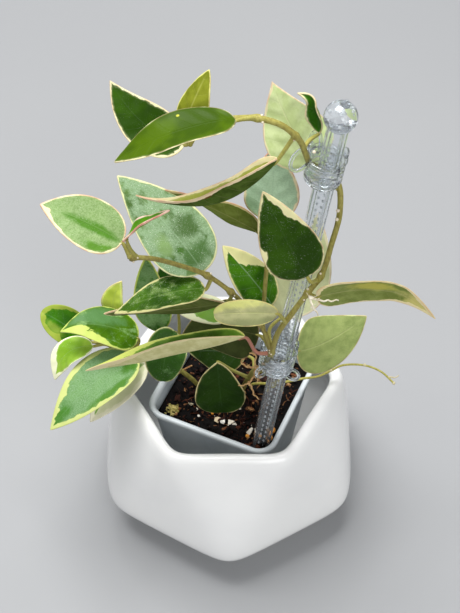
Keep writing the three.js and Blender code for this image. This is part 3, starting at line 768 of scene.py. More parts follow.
def clip(name, node, height, aside, radius, depth, teeth, handles, loop):
    """A ribbed barrel with a flared toothed mouth, loop handles and a spring ring."""
    form = Form()

    def put(shape, shift=(0, 0, 0)):
        points, faces = shape
        form.add((on_stake(points + np.array([*aside, 0]) + np.array(shift), height), faces))

    put(barrel(radius, depth))
    for k in range(teeth):
        put(tooth(2 * math.pi * k / teeth + 0.4, radius, depth))
    for around, lean, drop in handles:
        wire = upright_loop(loop[0] - 0.7, loop[1] - 0.7, 40)
        wire = wire @ np.array(rotation(0, lean, 0)).T + [radius + loop[0] - 1.2, 0, drop]
        wire = wire @ np.array(rotation(0, 0, around)).T
        put(skin(tube(wire, 0.9, 10, closed=True), closed=True))
    for reach, thick in ((2.4, 0.75), (1.08, 0.45)):
        ring = upright_loop(reach, reach, 24)
        put(skin(tube(ring, thick, 9, closed=True), closed=True), (0, -radius - 0.7, -0.1 * depth))
    form.make(name, clear_plastic(f"clear {node}"), "clear_plastic", node, crease=50)


def clear_plastic(name, clear=0.94):
    f = Finish(name)
    place = f.solid_place()
    wave = f.noise(place, 0.35, 3)
    haze = f.noise(place, 0.16, 2)
    surface = f.shader(
        Base_Color=f.tint("e6edf2", "f8fbfd", haze),
        Roughness=0.01 + 0.06 * haze.step(0.45, 0.8),
        IOR=1.46,
        Transmission_Weight=clear,
        Normal=f.bump(wave, 0.5, 0.3),
    )
    return f.close(surface)


def milky_plastic():
    f = Finish("bubbles in the ball")
    speck = f.noise(f.solid_place(), 0.8, 2)
    shade = f.tint("f2f6fa", "ffffff", speck)
    return f.close(f.shader(Base_Color=shade, Roughness=0.1, Alpha=0.35 + 0.3 * speck))


# Stems and roots

MAIN_STEM = [
    (8, 4, 60), (8, 3, 78), (11, -8, 105), (14, -21, 130), (18, -30, 143), (19.5, -33, 154), (21, -37, 167),
    (24, -38, 185), (30, -37, 198), (37, -34, 210), (43, -31, 219), (47, -28, 238),
    (50, -24, 256), (49, -17, 267), (43, -16, 274), (36, -19, 282), (33, -24, 294),
    (30, -27, 305), (22, -28, 315), (12, -28, 319), (5, -25, 316), (-4, -21, 311), (-12, -18.5, 304.5),
    (-17, -20, 295),
]
LEFT_SHOOT = [
    (21, -37, 167), (17, -37, 184), (9, -36, 201), (1, -35, 212), (-10, -34, 223), (-24, -38, 236),
    (-35, -42, 245), (-44, -44, 248),
]
MIDDLE_SHOOT = [(21, -37, 167), (17, -31, 178), (17, -27, 195), (18, -22, 216), (19, -17, 232)]
LOW_STEM = [(-16, 6, 60), (-17, 5, 78), (-27, 5, 94), (-38, 6, 107), (-49, 4, 114), (-60, 2, 117)]
BARE_SHOOT = [
    (12, 6, 70), (13, 2, 84), (21, -3, 92), (31, -4, 95), (40, -4, 98), (48, -4, 100), (55, -3, 104),
    (61, -1, 106), (73, -1, 106), (82, -3, 103), (89, -7, 98),
]
NODES = [
    (37, -34, 210), (43, -31, 219), (28, -27, 308), (12, -28, 319), (-13, -19, 303),
    (-10, -34, 223), (-43, -44, 248), (1, -35, 212), (21, -37, 167), (19, -18, 230),
]
LOW_NODES = [(-38, 6, 107), (-60, 2, 117)]
NODE_R = 1.9
NODE_REACH = 1.7
STEM_SIDES = 14
BUDS = [((48.9, -25.5, 258.5), 0.9), ((48.6, -27.3, 254.7), 0.85), ((36.5, -27.2, 298), 0.8)]
LOW_KNOT = (14, -31, 146)
LOW_ROOTS = [
    [(17, -27, 139), LOW_KNOT],
    [LOW_KNOT, (9, -34, 151), (6, -34, 155), (8, -34, 158)],
    [LOW_KNOT, (12, -33, 139), (9, -33, 134), (5, -32, 131)],
    [LOW_KNOT, (15, -34, 142), (14, -34, 137)],
    [(10, -33, 136), (12, -31, 127), (13, -31, 122), (16, -31, 117)],
    [LOW_KNOT, (13, -35, 154), (13, -34, 161), (10, -33, 161)],
]
NODE_KNOT = (38.5, -37, 210)
NODE_ROOTS = [
    [(37.5, -35, 210), NODE_KNOT],
    [NODE_KNOT, (39, -40, 208), (41, -41, 205), (42, -41, 202)],
    [NODE_KNOT, (43, -40, 212), (47, -41, 213), (51, -40, 212)],
]


def shoot(form, points, radius, nodes, young):
    """A stem that swells at its nodes, with low nubs of roots near them. Young says how fresh
    it is at its start and at its end."""
    line = smooth_line(points, 0.8)
    knots = np.array([p for p in nodes if np.linalg.norm(line - p, axis=1).min() < 2.5])
    reach = np.full(len(line), float(radius))
    for knot in knots:
        off = np.linalg.norm(line - knot, axis=1)
        reach += (NODE_R - radius) * np.exp(-((off / NODE_REACH) ** 2))
    run = np.arange(len(line))
    reach *= 1 + 0.015 * np.sin(run / 2.3) + 0.01 * np.sin(run / 0.9 + 1)
    rings = tube(line, reach, STEM_SIDES)
    fresh = np.repeat(np.linspace(*young, len(line)), STEM_SIDES)
    form.add(skin(rings), fresh=np.append(fresh, young), nub=0)
    for knot in knots:
        nearest = int(np.argmin(np.linalg.norm(line - knot, axis=1)))
        for _ in range(3):
            k = min(max(nearest + rng.integers(-4, 5), 1), len(line) - 2)
            angle = rng.integers(0, STEM_SIDES)
            form.add(ball(rings[k, angle], 0.42 + 0.3 * rng.random(), 1.0, 8), fresh=0.5, nub=1)


def vine_stems():
    form = Form()
    shoot(form, MAIN_STEM, STEM_R, NODES, (0.2, 0.75))
    shoot(form, LEFT_SHOOT, STEM_R - 0.2, NODES, (0.2, 0.3))
    shoot(form, MIDDLE_SHOOT, STEM_R - 0.3, NODES, (0.35, 0.5))
    for at, r in BUDS:
        form.add(ball(at, r, 0.9, 10), fresh=0.5, nub=1)
    form.make("vine_stems", bark_of_stem("vine stem"), "stem", "vine_main")


def low_stem():
    form = Form()
    shoot(form, LOW_STEM, STEM_R - 0.05, LOW_NODES, (0.5, 0.8))
    form.make("low_stem", bark_of_stem("low stem"), "stem", "vine_low")


def bare_runner():
    """The leafless shoot, with a short fork near its end and three nodes."""
    form = Form()
    line = smooth_line(BARE_SHOOT, 0.8)
    form.add(skin(tube(line, np.linspace(0.8, 0.55, len(line)), 10)), fresh=1.0, nub=0)
    fork = smooth_line([(86, -5, 101), (90, -4, 99), (92, -2, 98)], 0.6)
    form.add(skin(tube(fork, np.linspace(0.5, 0.3, len(fork)), 8)), fresh=0.7, nub=0.6)
    for at in ((73, -1, 106.3), (55, -3, 104.2), (89, -7, 98)):
        form.add(ball(at, 0.95, 0.9, 10), fresh=0.8, nub=0.5)
    form.make("bare_runner", bark_of_stem("young runner"), "young_stem", "bare_shoot")


def aerial_roots():
    brown = root_skin("tan root", "a9804e", "d0aa74")
    pale = root_skin("pale root", "d9cdb0", "f3ecd8")
    roots("low_roots", LOW_KNOT, LOW_ROOTS, brown, "root_tan", "roots_low")
    roots("node_roots", NODE_KNOT, NODE_ROOTS, pale, "root_pale", "roots_node")


def roots(name, knot, lines, material, slot, node):
    """Roots that wander from a knot along the given lines, with finer ones that leave them."""
    form = Form().add(ball(knot, 1.2, 0.9, 12))
    for points in lines:
        curve = smooth_line(points, 0.5)
        wander = 0.25 * np.sin(np.arange(len(curve))[:, None] * [0.55, 0.8, 0.7] + rng.random(3) * 6)
        wander[:2] = 0
        form.add(skin(tube(curve + wander, np.linspace(0.62, 0.32, len(curve)), 8)))
    for _ in range(7):
        points = np.array(lines[rng.integers(1, len(lines))])
        start = points[rng.integers(0, len(points) - 1)]
        away = rng.normal(size=(3, 3)) * [1.0, 0.5, 1.2]
        curve = smooth_line(np.vstack([start, start + np.cumsum(away, axis=0)]), 0.5)
        form.add(skin(tube(curve, np.linspace(0.24, 0.12, len(curve)), 6)))
    form.make(name, material, slot, node)


def root_skin(name, dark, pale):
    f = Finish(name)
    grain = f.noise(f.solid_place(), 0.7, 3)
    shade = f.tint(dark, pale, grain.step(0.35, 0.65))
    return f.close(f.shader(Base_Color=shade, Roughness=0.75, Normal=f.bump(grain, 0.2, 0.5)))


def bark_of_stem(name):
    f = Finish(name)
    place = f.solid_place()
    fresh = f.figure("fresh")
    nub = f.figure("nub")
    streak = f.noise(f.stretched(place, (1, 1, 0.3)), 0.8, 3, 0.6)
    freckle = f.noise(place, 1.7, 2).step(0.6, 0.72)
    old = f.tint("6b5a30", "857c38", streak.step(0.32, 0.62))
    new = f.tint("968f3c", "b8b15e", streak.step(0.3, 0.7))
    shade = f.tint(f.tint(old, new, fresh), "8a6a4c", freckle * 0.4)
    shade = f.tint(shade, "e2d6bd", nub)
    surface = f.shader(
        Base_Color=shade,
        Roughness=0.5 + 0.2 * streak,
        Specular_IOR_Level=0.4,
        Normal=f.bump(streak + 0.3 * freckle, 0.25, 0.5),
    )
    return f.close(surface)


# Leaves: shape as in the solids. Start is where the stalk leaves the stem, bend is on its way to
# the blade's base, face is where the upper side looks, and fold is how far each half rises from
# flat, in degrees. Hook moves the tip. Round and taper shape the base and the tip.

LEAVES = {
    "leaf_top_long": dict(
        start=(12, -28, 319), bend=(8, -30, 321), base=(3, -29, 319), mid=(-22, -35, 318),
        tip=(-48, -38, 303), width=22, face=(0, 0.05, 1), fold=8, taper=0.8,
    ),
    "leaf_top_left": dict(
        start=(-16, -20, 296), base=(-19, -20, 295), mid=(-37, -12, 300), tip=(-51, 0, 314), width=21.5,
        face=(0.1, -0.6, 0.8), fold=8, round=0.6, taper=1,
    ),
    "leaf_top_narrow": dict(
        start=(-13, -19, 303), bend=(-17, -18.5, 302), base=(-20, -19, 300), mid=(-15, -13, 313),
        tip=(-8, -4, 324), width=15, face=(0.6, 0.75, -0.2), fold=14,
    ),
    "leaf_back_top": dict(
        start=(49, -18, 265), bend=(44, -11, 264), base=(39, -6, 268), mid=(28, 1, 284), tip=(19, 11, 303),
        width=30, face=(0.1, 0.75, -0.65), fold=6, taper=1.15, wave=1,
    ),
    "leaf_folded": dict(
        start=(28, -27, 308), base=(21, -30, 297), mid=(-5, -37, 277), tip=(-41, -30, 274), width=20,
        face=(0.1, 0.45, 0.88), fold=48, taper=1.4,
    ),
    "leaf_silver": dict(
        start=(-12, -34, 225), base=(-12, -28, 218), mid=(-28, -12, 231), tip=(-52, 4, 250), width=33,
        face=(0.1, -0.45, 0.89), fold=5, round=0.55,
    ),
    "leaf_left": dict(
        start=(-44, -44, 248), base=(-47, -42, 256), mid=(-65, -36, 264), tip=(-83, -32, 270), width=25,
        face=(0.05, -0.35, 0.93), fold=8, round=0.5,
    ),
    "leaf_edge_on": dict(
        start=(-41, -43, 247), bend=(-43.5, -45, 255), base=(-44.8, -46, 262), mid=(-38, -48, 274),
        tip=(-25, -46, 282), width=11, face=(-0.72, 0.36, 0.6), fold=15,
    ),
    "leaf_left_low": dict(
        start=(-8, -34, 221), base=(-11, -35, 214), mid=(-30, -37, 212.5), tip=(-54, -41, 203), width=22,
        face=(0, 0.15, 0.98), fold=6,
    ),
    "leaf_left_under": dict(
        start=(1, -35, 212), bend=(1, -32, 204), base=(-2, -29, 196), mid=(-31, -30, 192),
        tip=(-60, -34, 194), width=26, face=(0, 0.94, 0.35), fold=8,
    ),
    "leaf_behind_left": dict(
        start=(-38, 6, 107), bend=(-38, 7, 118), base=(-38, 7, 126), mid=(-40, 10, 150), tip=(-42, 14, 180),
        width=20, face=(-0.1, -0.9, 0.42), fold=8,
    ),
    "leaf_lime_small": dict(
        start=(-60, 2, 117), bend=(-59, 12, 119), base=(-60, 17, 127), mid=(-61, 19, 138),
        tip=(-56, 21, 151), width=13, face=(-0.3, -0.85, 0.4), fold=10,
    ),
    "leaf_far_left": dict(
        start=(-57, 3, 116), bend=(-65, 10, 111), base=(-75, 11, 111), mid=(-88, 13, 124),
        tip=(-100, 17, 130), width=20, face=(-0.2, -0.4, 0.9), fold=12, round=0.5, taper=0.6,
    ),
    "leaf_left_curled": dict(
        start=(-50, 4, 115), bend=(-48, 4, 120), base=(-48, 3, 125), mid=(-66, 2, 137), tip=(-86, -1, 142),
        width=25, face=(-0.1, -0.1, 0.98), fold=4, round=0.5, hook=(-2, -1, -5),
    ),
    "leaf_small_bright": dict(
        start=(-60, 2, 117), bend=(-66, 2, 121), base=(-72, 0, 122), mid=(-86, -4, 120),
        tip=(-93, -10, 105), width=16, face=(-0.2, -0.25, 0.95), fold=12,
    ),
    "leaf_big_low": dict(
        start=(-46, 4, 112), bend=(-46, -1, 117), base=(-49, -4, 119), mid=(-71, -21, 117),
        tip=(-94, -38, 99), width=31, face=(-0.15, -0.1, 0.98), fold=5,
    ),
    "leaf_cream_fold": dict(
        start=(-38, 6, 107), bend=(-40, 2, 109), base=(-44, -3, 111), mid=(-60, -17, 107),
        tip=(-74, -29, 93), width=20, face=(0.45, -0.2, 0.87), fold=30,
    ),
    "leaf_long_cream": dict(
        start=(20.5, -36, 165), bend=(14, -38, 168), base=(8, -38, 181), mid=(-29, -39, 167),
        tip=(-72, -36, 150), width=25, face=(0, 0.62, 0.78), fold=38,
    ),
    "leaf_dark_low": dict(
        start=(-27, 5, 94), bend=(-28, 6, 118), base=(-28, 2, 132), mid=(-33, -6, 125), tip=(-35, -13, 108),
        width=22, face=(0, -0.8, 0.6), fold=6, round=0.4, taper=0.42,
    ),
    "leaf_heart": dict(
        start=(10, -8, 105), bend=(1, -13, 119), base=(-6, -17, 131), mid=(-5, -19, 111),
        tip=(-3.5, -22, 92), width=27, face=(0, -0.95, 0.3), fold=7, round=0.8, taper=0.42,
    ),
    "leaf_olive_under": dict(
        start=(20, -35, 168), bend=(17, -29, 168), base=(15, -24, 164), mid=(-2, -18, 160),
        tip=(-24, -14, 150), width=33, face=(0.1, 0.88, -0.45), fold=5, round=0.55,
    ),
    "leaf_low_hidden": dict(
        start=(13, -17, 122), bend=(13, -9, 122), base=(9, -4, 119), mid=(-6, 2, 115), tip=(-22, 7, 108),
        width=24, face=(0, -0.7, 0.7), fold=6,
    ),
    "leaf_pale_bud": dict(
        start=(27, -38, 193), base=(23, -41, 203), mid=(8, -45, 209), tip=(-7, -43, 205), width=13,
        face=(0, 0.7, -0.7), fold=-8, round=0.5, taper=0.45,
    ),
    "leaf_mid_strip": dict(
        start=(9, -36, 201), bend=(6, -30, 190), base=(1, -22, 176), mid=(-14, -17, 176),
        tip=(-30, -12, 173), width=16, face=(0, -0.3, 0.95), fold=10,
    ),
    "leaf_back_mid": dict(
        start=(-31, 5, 99), bend=(-27, 13, 115), base=(-27, 15, 136), mid=(-30, 17, 152),
        tip=(-35, 20, 168), width=18, face=(0.2, -0.9, 0.35), fold=8,
    ),
    "leaf_upright": dict(
        start=(17, -29, 184), base=(21, -24, 188), mid=(10, -17, 202), tip=(-3, -9, 215), width=20,
        face=(0.15, -0.75, 0.65), fold=14,
    ),
    "leaf_front": dict(
        start=(41, -32, 217), bend=(38, -37, 222), base=(36, -37, 226), mid=(26, -34, 248),
        tip=(15, -26, 272), width=27.5, face=(-0.1, -0.72, 0.68), fold=5, round=0.5,
    ),
    "leaf_silver_back": dict(
        start=(19, -17, 232), base=(19, -12, 236), mid=(20, -4, 250), tip=(20, 4, 268), width=26,
        face=(0, -0.6, 0.8), fold=6,
    ),
    "leaf_olive_back": dict(
        start=(18, -20, 224), base=(14, -19, 236), mid=(-4, -18, 250), tip=(-29, -15, 261), width=18,
        face=(0.1, 0.9, 0.35), fold=10, taper=1.1,
    ),
    "leaf_right": dict(
        start=(37, -34, 210), base=(41, -35, 209), mid=(67, -31, 209), tip=(94, -30, 201), width=26,
        face=(-0.05, 0.97, 0.22), fold=-6, round=0.4, taper=1, hook=(6, -2, -14),
    ),
    "leaf_right_low": dict(
        start=(16, -26, 136), bend=(25, -21, 131), base=(35, -15, 138), mid=(52, -6, 135), tip=(72, 5, 142),
        width=30, face=(0.1, 0.75, -0.62), fold=4, round=0.5,
    ),
    "leaf_cream_back": dict(
        start=(21, -37, 170), bend=(20, -27, 172), base=(27, -15, 168), mid=(36, -6, 193), tip=(43, 4, 224),
        width=31, face=(0.1, 0.8, -0.55), fold=4, taper=1,
    ),
    "leaf_by_ball": dict(
        start=(32, -25, 298), bend=(35, -19, 297), base=(39, -15, 297), mid=(38, -12, 307),
        tip=(33, -10, 318), width=11, face=(-0.7, -0.4, 0.6), fold=34, hook=(-4, 0, -2),
    ),
}

# Finish of each leaf. Margin gives the cream border's width in millimetres left and right of
# the midrib at places along the blade. Marks are spots: place along, place across, reach along,
# reach across, colour. Silver, fleck, freckles, vein, pink and ragged say how much there is of each.
LOOKS = {
    "leaf_top_long": dict(
        slot="leaf_green", green="455f02", deep="344d01",
        margin=[(0, 0.1, 0.1), (0.4, 0.2, 0.1), (0.6, 0.4, 0.1), (1, 0.3, 0.1)], silver=0, fleck=0.05,
        pink=0.2, marks=[(0.45, 0.72, 0.015, 0.06, "c9c63e")], vein=0,
    ),
    "leaf_top_left": dict(
        slot="leaf_dark", green="2f5002", deep="234001", ragged=0.9,
        margin=[(0, 0.9, 1.0), (0.3, 0.8, 0.8), (0.5, 0.6, 0.7), (0.75, 0.5, 0.6), (1, 0.8, 0.8)], silver=0,
        fleck=0.12, pink=0.35, vein=0.02,
    ),
    "leaf_top_narrow": dict(
        slot="leaf_olive", green="4f8418", deep="3a6a14", under="7d8424", under_deep="687018",
        under_cream="c9c877", margin=[(0, 0.6, 0.6), (1, 0.3, 0.5)], pink=0.3,
    ),
    "leaf_back_top": dict(
        slot="leaf_olive", green="4f8418", deep="3a6a14", under="d2dfa4", under_deep="bccc8a",
        under_cream="e6dcae", margin=[(0, 0.5, 0.9), (0.5, 0.4, 0.7), (1, 0.6, 1.1)], pink=0.5, vein=0.15,
    ),
    # The folded leaf's dark underside greens are painted shade: the near half faces down, away from the
    # light
    "leaf_folded": dict(
        slot="leaf_green", green="a3a84a", deep="8b9238", under="4a6020", under_deep="35480f",
        under_cream="e3cfa8", margin=[(0, 0.8, 2.0), (0.4, 1.0, 1.2), (0.7, 1.2, 0.8), (1, 1.4, 1.2)],
        cream="e0d5a4", pink=0.5, marks=[(0.53, 0.3, 0.05, 0.3, "7a3420")],
        under_marks=[(0.53, -0.92, 0.05, 0.14, "7a3420")],
    ),
    "leaf_silver": dict(
        slot="leaf_silver", green="5f7d42", deep="47652e", silver=0.62, silver_colour="93ae88", fleck=1.0,
        margin=[(0, 0.6, 0.6), (0.5, 0.5, 0.7), (1, 0.5, 0.7)], cream="d9dba6",
        marks=[
            (0.43, 0.4, 0.12, 0.45, "486632"), (0.18, 0.1, 0.12, 0.6, "4c7038"),
            (0.42, -0.45, 0.1, 0.25, "7f9d60"), (0.3, -0.2, 0.05, 0.12, "3f6a1c"),
        ],
        pink=0.2, vein=0.4,
    ),
    "leaf_left": dict(
        slot="leaf_green", green="4a7214", deep="3a600a", silver=0.95, silver_colour="92aa74", fleck=0.35,
        margin=[(0, 1.0, 0.5), (0.5, 0.8, 0.5), (0.75, 1.2, 0.5), (0.88, 2.8, 0.7), (1, 2, 1.4)], pink=0.7,
        vein=0.15, marks=[(0.35, -0.05, 0.36, 0.22, "42740f"), (0.2, -0.7, 0.2, 0.2, "4d7c1c")],
    ),
    "leaf_edge_on": dict(
        slot="leaf_green", green="5c9410", deep="478008", under="7f8a36", under_deep="66701f",
        under_cream="e8b8a4", margin=[(0, 0.9, 1.2), (1, 0.8, 1.0)], cream="efd0bc", pink=1.0,
    ),
    "leaf_left_low": dict(
        slot="leaf_green", green="436c10", deep="2d5206", silver=0.45, silver_colour="7b9850", fleck=0.8,
        margin=[(0, 0.6, 0.5), (0.3, 0.6, 0.8), (0.65, 0.6, 1.0), (0.9, 1.3, 1.1), (1, 1.2, 1.2)], pink=0.2,
        vein=0.35, cream="dfdc98", ragged=1.1,
    ),
    "leaf_left_under": dict(
        slot="leaf_olive", green="4a6a26", deep="38561a", under="66723a", under_deep="535e2c",
        under_cream="d6c998", margin=[(0, 0.6, 1.0), (1, 0.8, 0.9)], pink=0.5,
    ),
    "leaf_behind_left": dict(
        slot="leaf_green", green="477c26", deep="346818", silver=0.6, silver_colour="83a56c", fleck=0.1,
        margin=[(0, 0.6, 0.6), (1, 0.7, 0.6)], cream="bccf62", vein=0.1,
    ),
    "leaf_lime_small": dict(
        slot="leaf_lime", green="cfe05c", deep="b4cc40", margin=[(0, 0.8, 0.8), (1, 1.2, 1.2)],
        cream="dde884", under="fafd7c", under_deep="eef66c", under_cream="fcfec0", fleck=0.05, vein=0.08,
    ),
    "leaf_far_left": dict(
        slot="leaf_green", green="3f7a0a", deep="2c6205", silver=0.1, fleck=0.1, ragged=0.9,
        marks=[(0.62, -0.5, 0.2, 0.3, "7c9434"), (0.3, 0.3, 0.12, 0.4, "5a801e")],
        margin=[(0, 0.8, 0.8), (0.3, 1.4, 1), (0.5, 3.4, 1.2), (0.7, 2, 2.4), (1, 3, 3)], cream="8fa03c",
        pink=0, vein=0.1,
    ),
    "leaf_left_curled": dict(
        slot="leaf_green", green="466e08", deep="335804", silver=0.42, silver_colour="83a868", fleck=0.15,
        ragged=0.7, margin=[(0, 0.6, 0.8), (0.35, 1.0, 0.6), (0.55, 4.2, 0.3), (0.8, 6.5, 0.5), (1, 5, 1)],
        cream="b9c866", pink=0.1, vein=0.2, marks=[(0.6, 0.5, 0.36, 0.5, "567f4a")],
    ),
    "leaf_small_bright": dict(
        slot="leaf_lime", green="94b83e", deep="76a026",
        margin=[(0, 0.3, 0.4), (0.4, 0.4, 0.8), (0.7, 0.6, 3.0), (0.9, 1.6, 4), (1, 3, 4)], cream="eeefc8",
        pink=0,
    ),
    "leaf_big_low": dict(
        slot="leaf_silver", green="4a7a18", deep="376410", silver=0.86, silver_colour="7da071", fleck=0.3,
        ragged=0.8, margin=[(0, 0.9, 1.4), (0.35, 1.8, 2.8), (0.7, 1.8, 3.2), (0.9, 2, 2.6), (1, 2, 2)],
        cream="c2ca7e", pink=0, vein=0.3,
        marks=[
            (0.1, -0.35, 0.16, 0.4, "3c6c10"), (0.88, 0.1, 0.12, 0.6, "3f7420"),
            (0.4, -0.75, 0.3, 0.16, "4a7a24"),
        ],
    ),
    "leaf_cream_fold": dict(
        slot="leaf_cream", green="dfdfba", deep="cfd2a6", margin=[(0, 2, 1), (1, 2, 2)], cream="ece8cc",
        pink=0.1, marks=[(0.3, 0.25, 0.3, 0.35, "4a8416"), (0.75, 0.2, 0.3, 0.14, "6a9c2e")],
    ),
    "leaf_long_cream": dict(
        slot="leaf_cream", green="6a8f30", deep="527a1e", under="d0cc98", under_deep="bcb880",
        under_cream="ddd0a2", margin=[(0, 0.6, 0.6), (0.55, 0.8, 1.0), (0.75, 2.4, 3), (1, 4, 4)],
        cream="c6d06a", pink=0.2, stalk="b07468", vein=0.05,
    ),
    "leaf_dark_low": dict(
        slot="leaf_dark", green="34581c", deep="274812", silver=0.35, silver_colour="6a8c58", fleck=0.2,
        margin=[(0, 0.4, 0.4), (1, 0.4, 0.4)], cream="a9b97c", vein=0.1,
    ),
    "leaf_heart": dict(
        slot="leaf_dark", green="223c08", deep="183003", silver=0.12, silver_colour="43663a", fleck=0.1,
        margin=[(0, 0.4, 0.4), (0.5, 0.4, 0.4), (0.75, 0.2, 0.35), (1, 0.1, 0.1)], cream="c9ba84", pink=0,
        vein=0.14,
    ),
    # The dark olive underside colours are painted shade, from the leaves that hang over it
    "leaf_olive_under": dict(
        slot="leaf_olive", green="35571c", deep="264512", under="414a22", under_deep="353e1a",
        under_cream="7c7a50", margin=[(0, 0.3, 0.3), (1, 0.4, 0.4)], pink=0.2,
    ),
    # The dark greens of this hidden leaf are painted shade: it lies in the shadow under the leaves around
    # it
    "leaf_low_hidden": dict(
        slot="leaf_dark", green="2b4412", deep="1f360c", margin=[(0, 0.4, 0.4), (1, 0.4, 0.4)],
        cream="a9ab74",
    ),
    "leaf_pale_bud": dict(
        slot="leaf_cream", green="a9b46a", deep="97a456", under="b6b484", under_deep="a2a474",
        under_cream="d0d280", margin=[(0, 0.4, 0.3), (1, 0.5, 0.4)], pink=0.3, vein=0.08,
        # The grey second under mark is painted shade on the side of the bud turned from the light
        under_marks=[(0.75, -0.85, 0.5, 0.6, "d6d782"), (0.35, 0.9, 0.6, 0.6, "82875c")],
    ),
    "leaf_mid_strip": dict(
        slot="leaf_cream", green="6a9430", deep="56801f",
        margin=[(0, 0.9, 0.9), (0.4, 1.6, 2.0), (0.6, 5, 6), (1, 6, 6)], cream="d9dcb4", pink=0.2,
    ),
    "leaf_back_mid": dict(
        slot="leaf_dark", green="376a1c", deep="285610", margin=[(0, 0.5, 0.5), (1, 0.5, 0.5)],
        cream="b9c088",
    ),
    "leaf_upright": dict(
        slot="leaf_green", green="3f7208", deep="2a5604", silver=0, fleck=0.35, ragged=0.8,
        margin=[
            (0, 0.6, 0.6), (0.35, 0.6, 0.8), (0.5, 0.6, 2.2), (0.62, 0.7, 5.4), (0.8, 1.2, 6.5),
            (0.9, 2.2, 5), (1, 3, 3),
        ],
        cream="e3e0a0", pink=0.25, vein=0.3,
    ),
    "leaf_front": dict(
        slot="leaf_dark", green="2f5004", deep="223e02", silver=0, fleck=0.3, ragged=0.8,
        margin=[
            (0, 0.5, 0.5), (0.36, 0.4, 0.4), (0.44, 1.9, 0.4), (0.5, 2.2, 0.4), (0.55, 0.5, 0.5),
            (0.62, 0.5, 1.4), (0.68, 0.6, 2.6), (0.82, 0.9, 3.2), (0.92, 0.8, 1.6), (1, 0.8, 0.8),
        ],
        cream="e6e0aa", pink=0.5, vein=0.02,
    ),
    "leaf_silver_back": dict(
        slot="leaf_silver", green="8fb088", deep="7c9e76", silver=0.9, silver_colour="bad2b4", fleck=0.2,
        margin=[(0, 0.8, 1.2), (1, 0.8, 1.1)], cream="ead9b4", pink=0.9, vein=0.25,
    ),
    "leaf_olive_back": dict(
        slot="leaf_olive", green="4f8a1e", deep="3c7414", under="76833a", under_deep="616e28",
        under_cream="cfc184", margin=[(0, 0.6, 0.5), (0.5, 1.0, 0.5), (1, 1.0, 0.6)], pink=0.8,
    ),
    "leaf_right": dict(
        slot="leaf_olive", green="a5b43c", deep="7c9a24", under="8a9650", under_deep="727f3a",
        under_cream="e8d9a6",
        margin=[
            (0, 0.5, 2.0), (0.25, 0.7, 1.6), (0.45, 1.2, 0.6), (0.7, 1.4, 0.7), (0.85, 1.6, 1.2),
            (1, 2.2, 2.2),
        ],
        cream="d2cf7a", pink=0.45,
        under_marks=[(0.49, 0.5, 0.2, 0.5, "bcb650"), (0.97, 0, 0.2, 1.4, "d2c878")],
    ),
    "leaf_right_low": dict(
        slot="leaf_olive", green="5f8a34", deep="4a7824", under="929f60", under_deep="7d8c50",
        under_cream="c5c890", margin=[(0, 0.2, 0.2), (1, 0.3, 0.3)], pink=0.3, freckles=0.5, vein=0.15,
    ),
    "leaf_cream_back": dict(
        slot="leaf_cream", green="c6cc8a", deep="b4bc74", under="dddfb0", under_deep="cfd3a0",
        under_cream="ece2c0", margin=[(0, 0.9, 0.9), (1, 1.1, 1.1)], pink=0.5, vein=0.1,
    ),
    "leaf_by_ball": dict(
        slot="leaf_green", green="3a7408", deep="2a5c04",
        margin=[(0, 0.5, 0.2), (0.5, 0.7, 0.2), (0.85, 0.5, 0.3), (1, 0.4, 0.4)], cream="e3dcae", pink=0.3,
        marks=[(0.98, 0, 0.06, 1.2, "8a7a34")],
    ),
}

BLADE_ROWS = 52
VEIN_PITCH = 7.5
HOOK_FROM = 0.7
HOOK_LENGTH = 0.3
HALF_ACROSS = np.array([0.05, 0.12, 0.2, 0.3, 0.41, 0.52, 0.63, 0.74, 0.83, 0.9, 0.955, 0.985, 1.0])


def fullness(t, round_, taper):
    """Half the blade's width at a place along it, as a share of the widest."""
    widest = round_ / (round_ + taper)
    return (t / widest) ** round_ * ((1 - t) / (1 - widest)) ** taper


def blade_points(leaf, t, s):
    """The blade's middle surface, with t from base to tip and s from one edge to the other."""
    keys = ("base", "mid", "tip", "hook")
    base, mid, tip, hook = [np.array(leaf.get(key, (0, 0, 0)), float) for key in keys]
    t, s = t[:, None, None], s[None, :, None]
    late = np.maximum(0, (t - HOOK_FROM) / HOOK_LENGTH)
    at = base * (1 - t) * (1 - 2 * t) + mid * 4 * t * (1 - t) + tip * t * (2 * t - 1) + hook * late**2
    along = base * (4 * t - 3) + mid * (4 - 8 * t) + tip * (4 * t - 1) + hook * 2 * late / HOOK_LENGTH
    along = unit(along)
    side = unit(np.cross(along, np.array(leaf["face"], float)))
    up = np.cross(side, along)
    half = leaf["width"] / 2 * fullness(t, leaf.get("round", 0.6), leaf.get("taper", 0.9))
    rise = math.radians(leaf["fold"])
    ripple = leaf.get("wave", 0.7) * np.sin(9 * t + 2.1 * np.sign(s)) * s**2 * np.minimum(1, half / 5)
    at = at + side * half * s * math.cos(rise)
    return at + up * (half * math.sin(rise) * np.abs(s) ** 1.4 + ripple), half[:, 0, 0]


def edge_distance(flat_x, flat_y, half, run):
    """How far each point of the blade is from its rim, with the blade laid flat."""
    rim = np.vstack([np.column_stack([way * half, run]) for way in (-1, 1)])
    edge = np.full(flat_x.shape, 99.0)
    for a, b in zip(rim, rim[1:]):
        step = b - a
        if np.linalg.norm(step) > 0.6 * run[-1]:
            continue
        from_x, from_y = flat_x - a[0], flat_y - a[1]
        share = (from_x * step[0] + from_y * step[1]) / max(np.dot(step, step), 1e-6)
        share = np.clip(share, 0, 1)
        edge = np.minimum(edge, np.hypot(from_x - share * step[0], from_y - share * step[1]))
    return edge


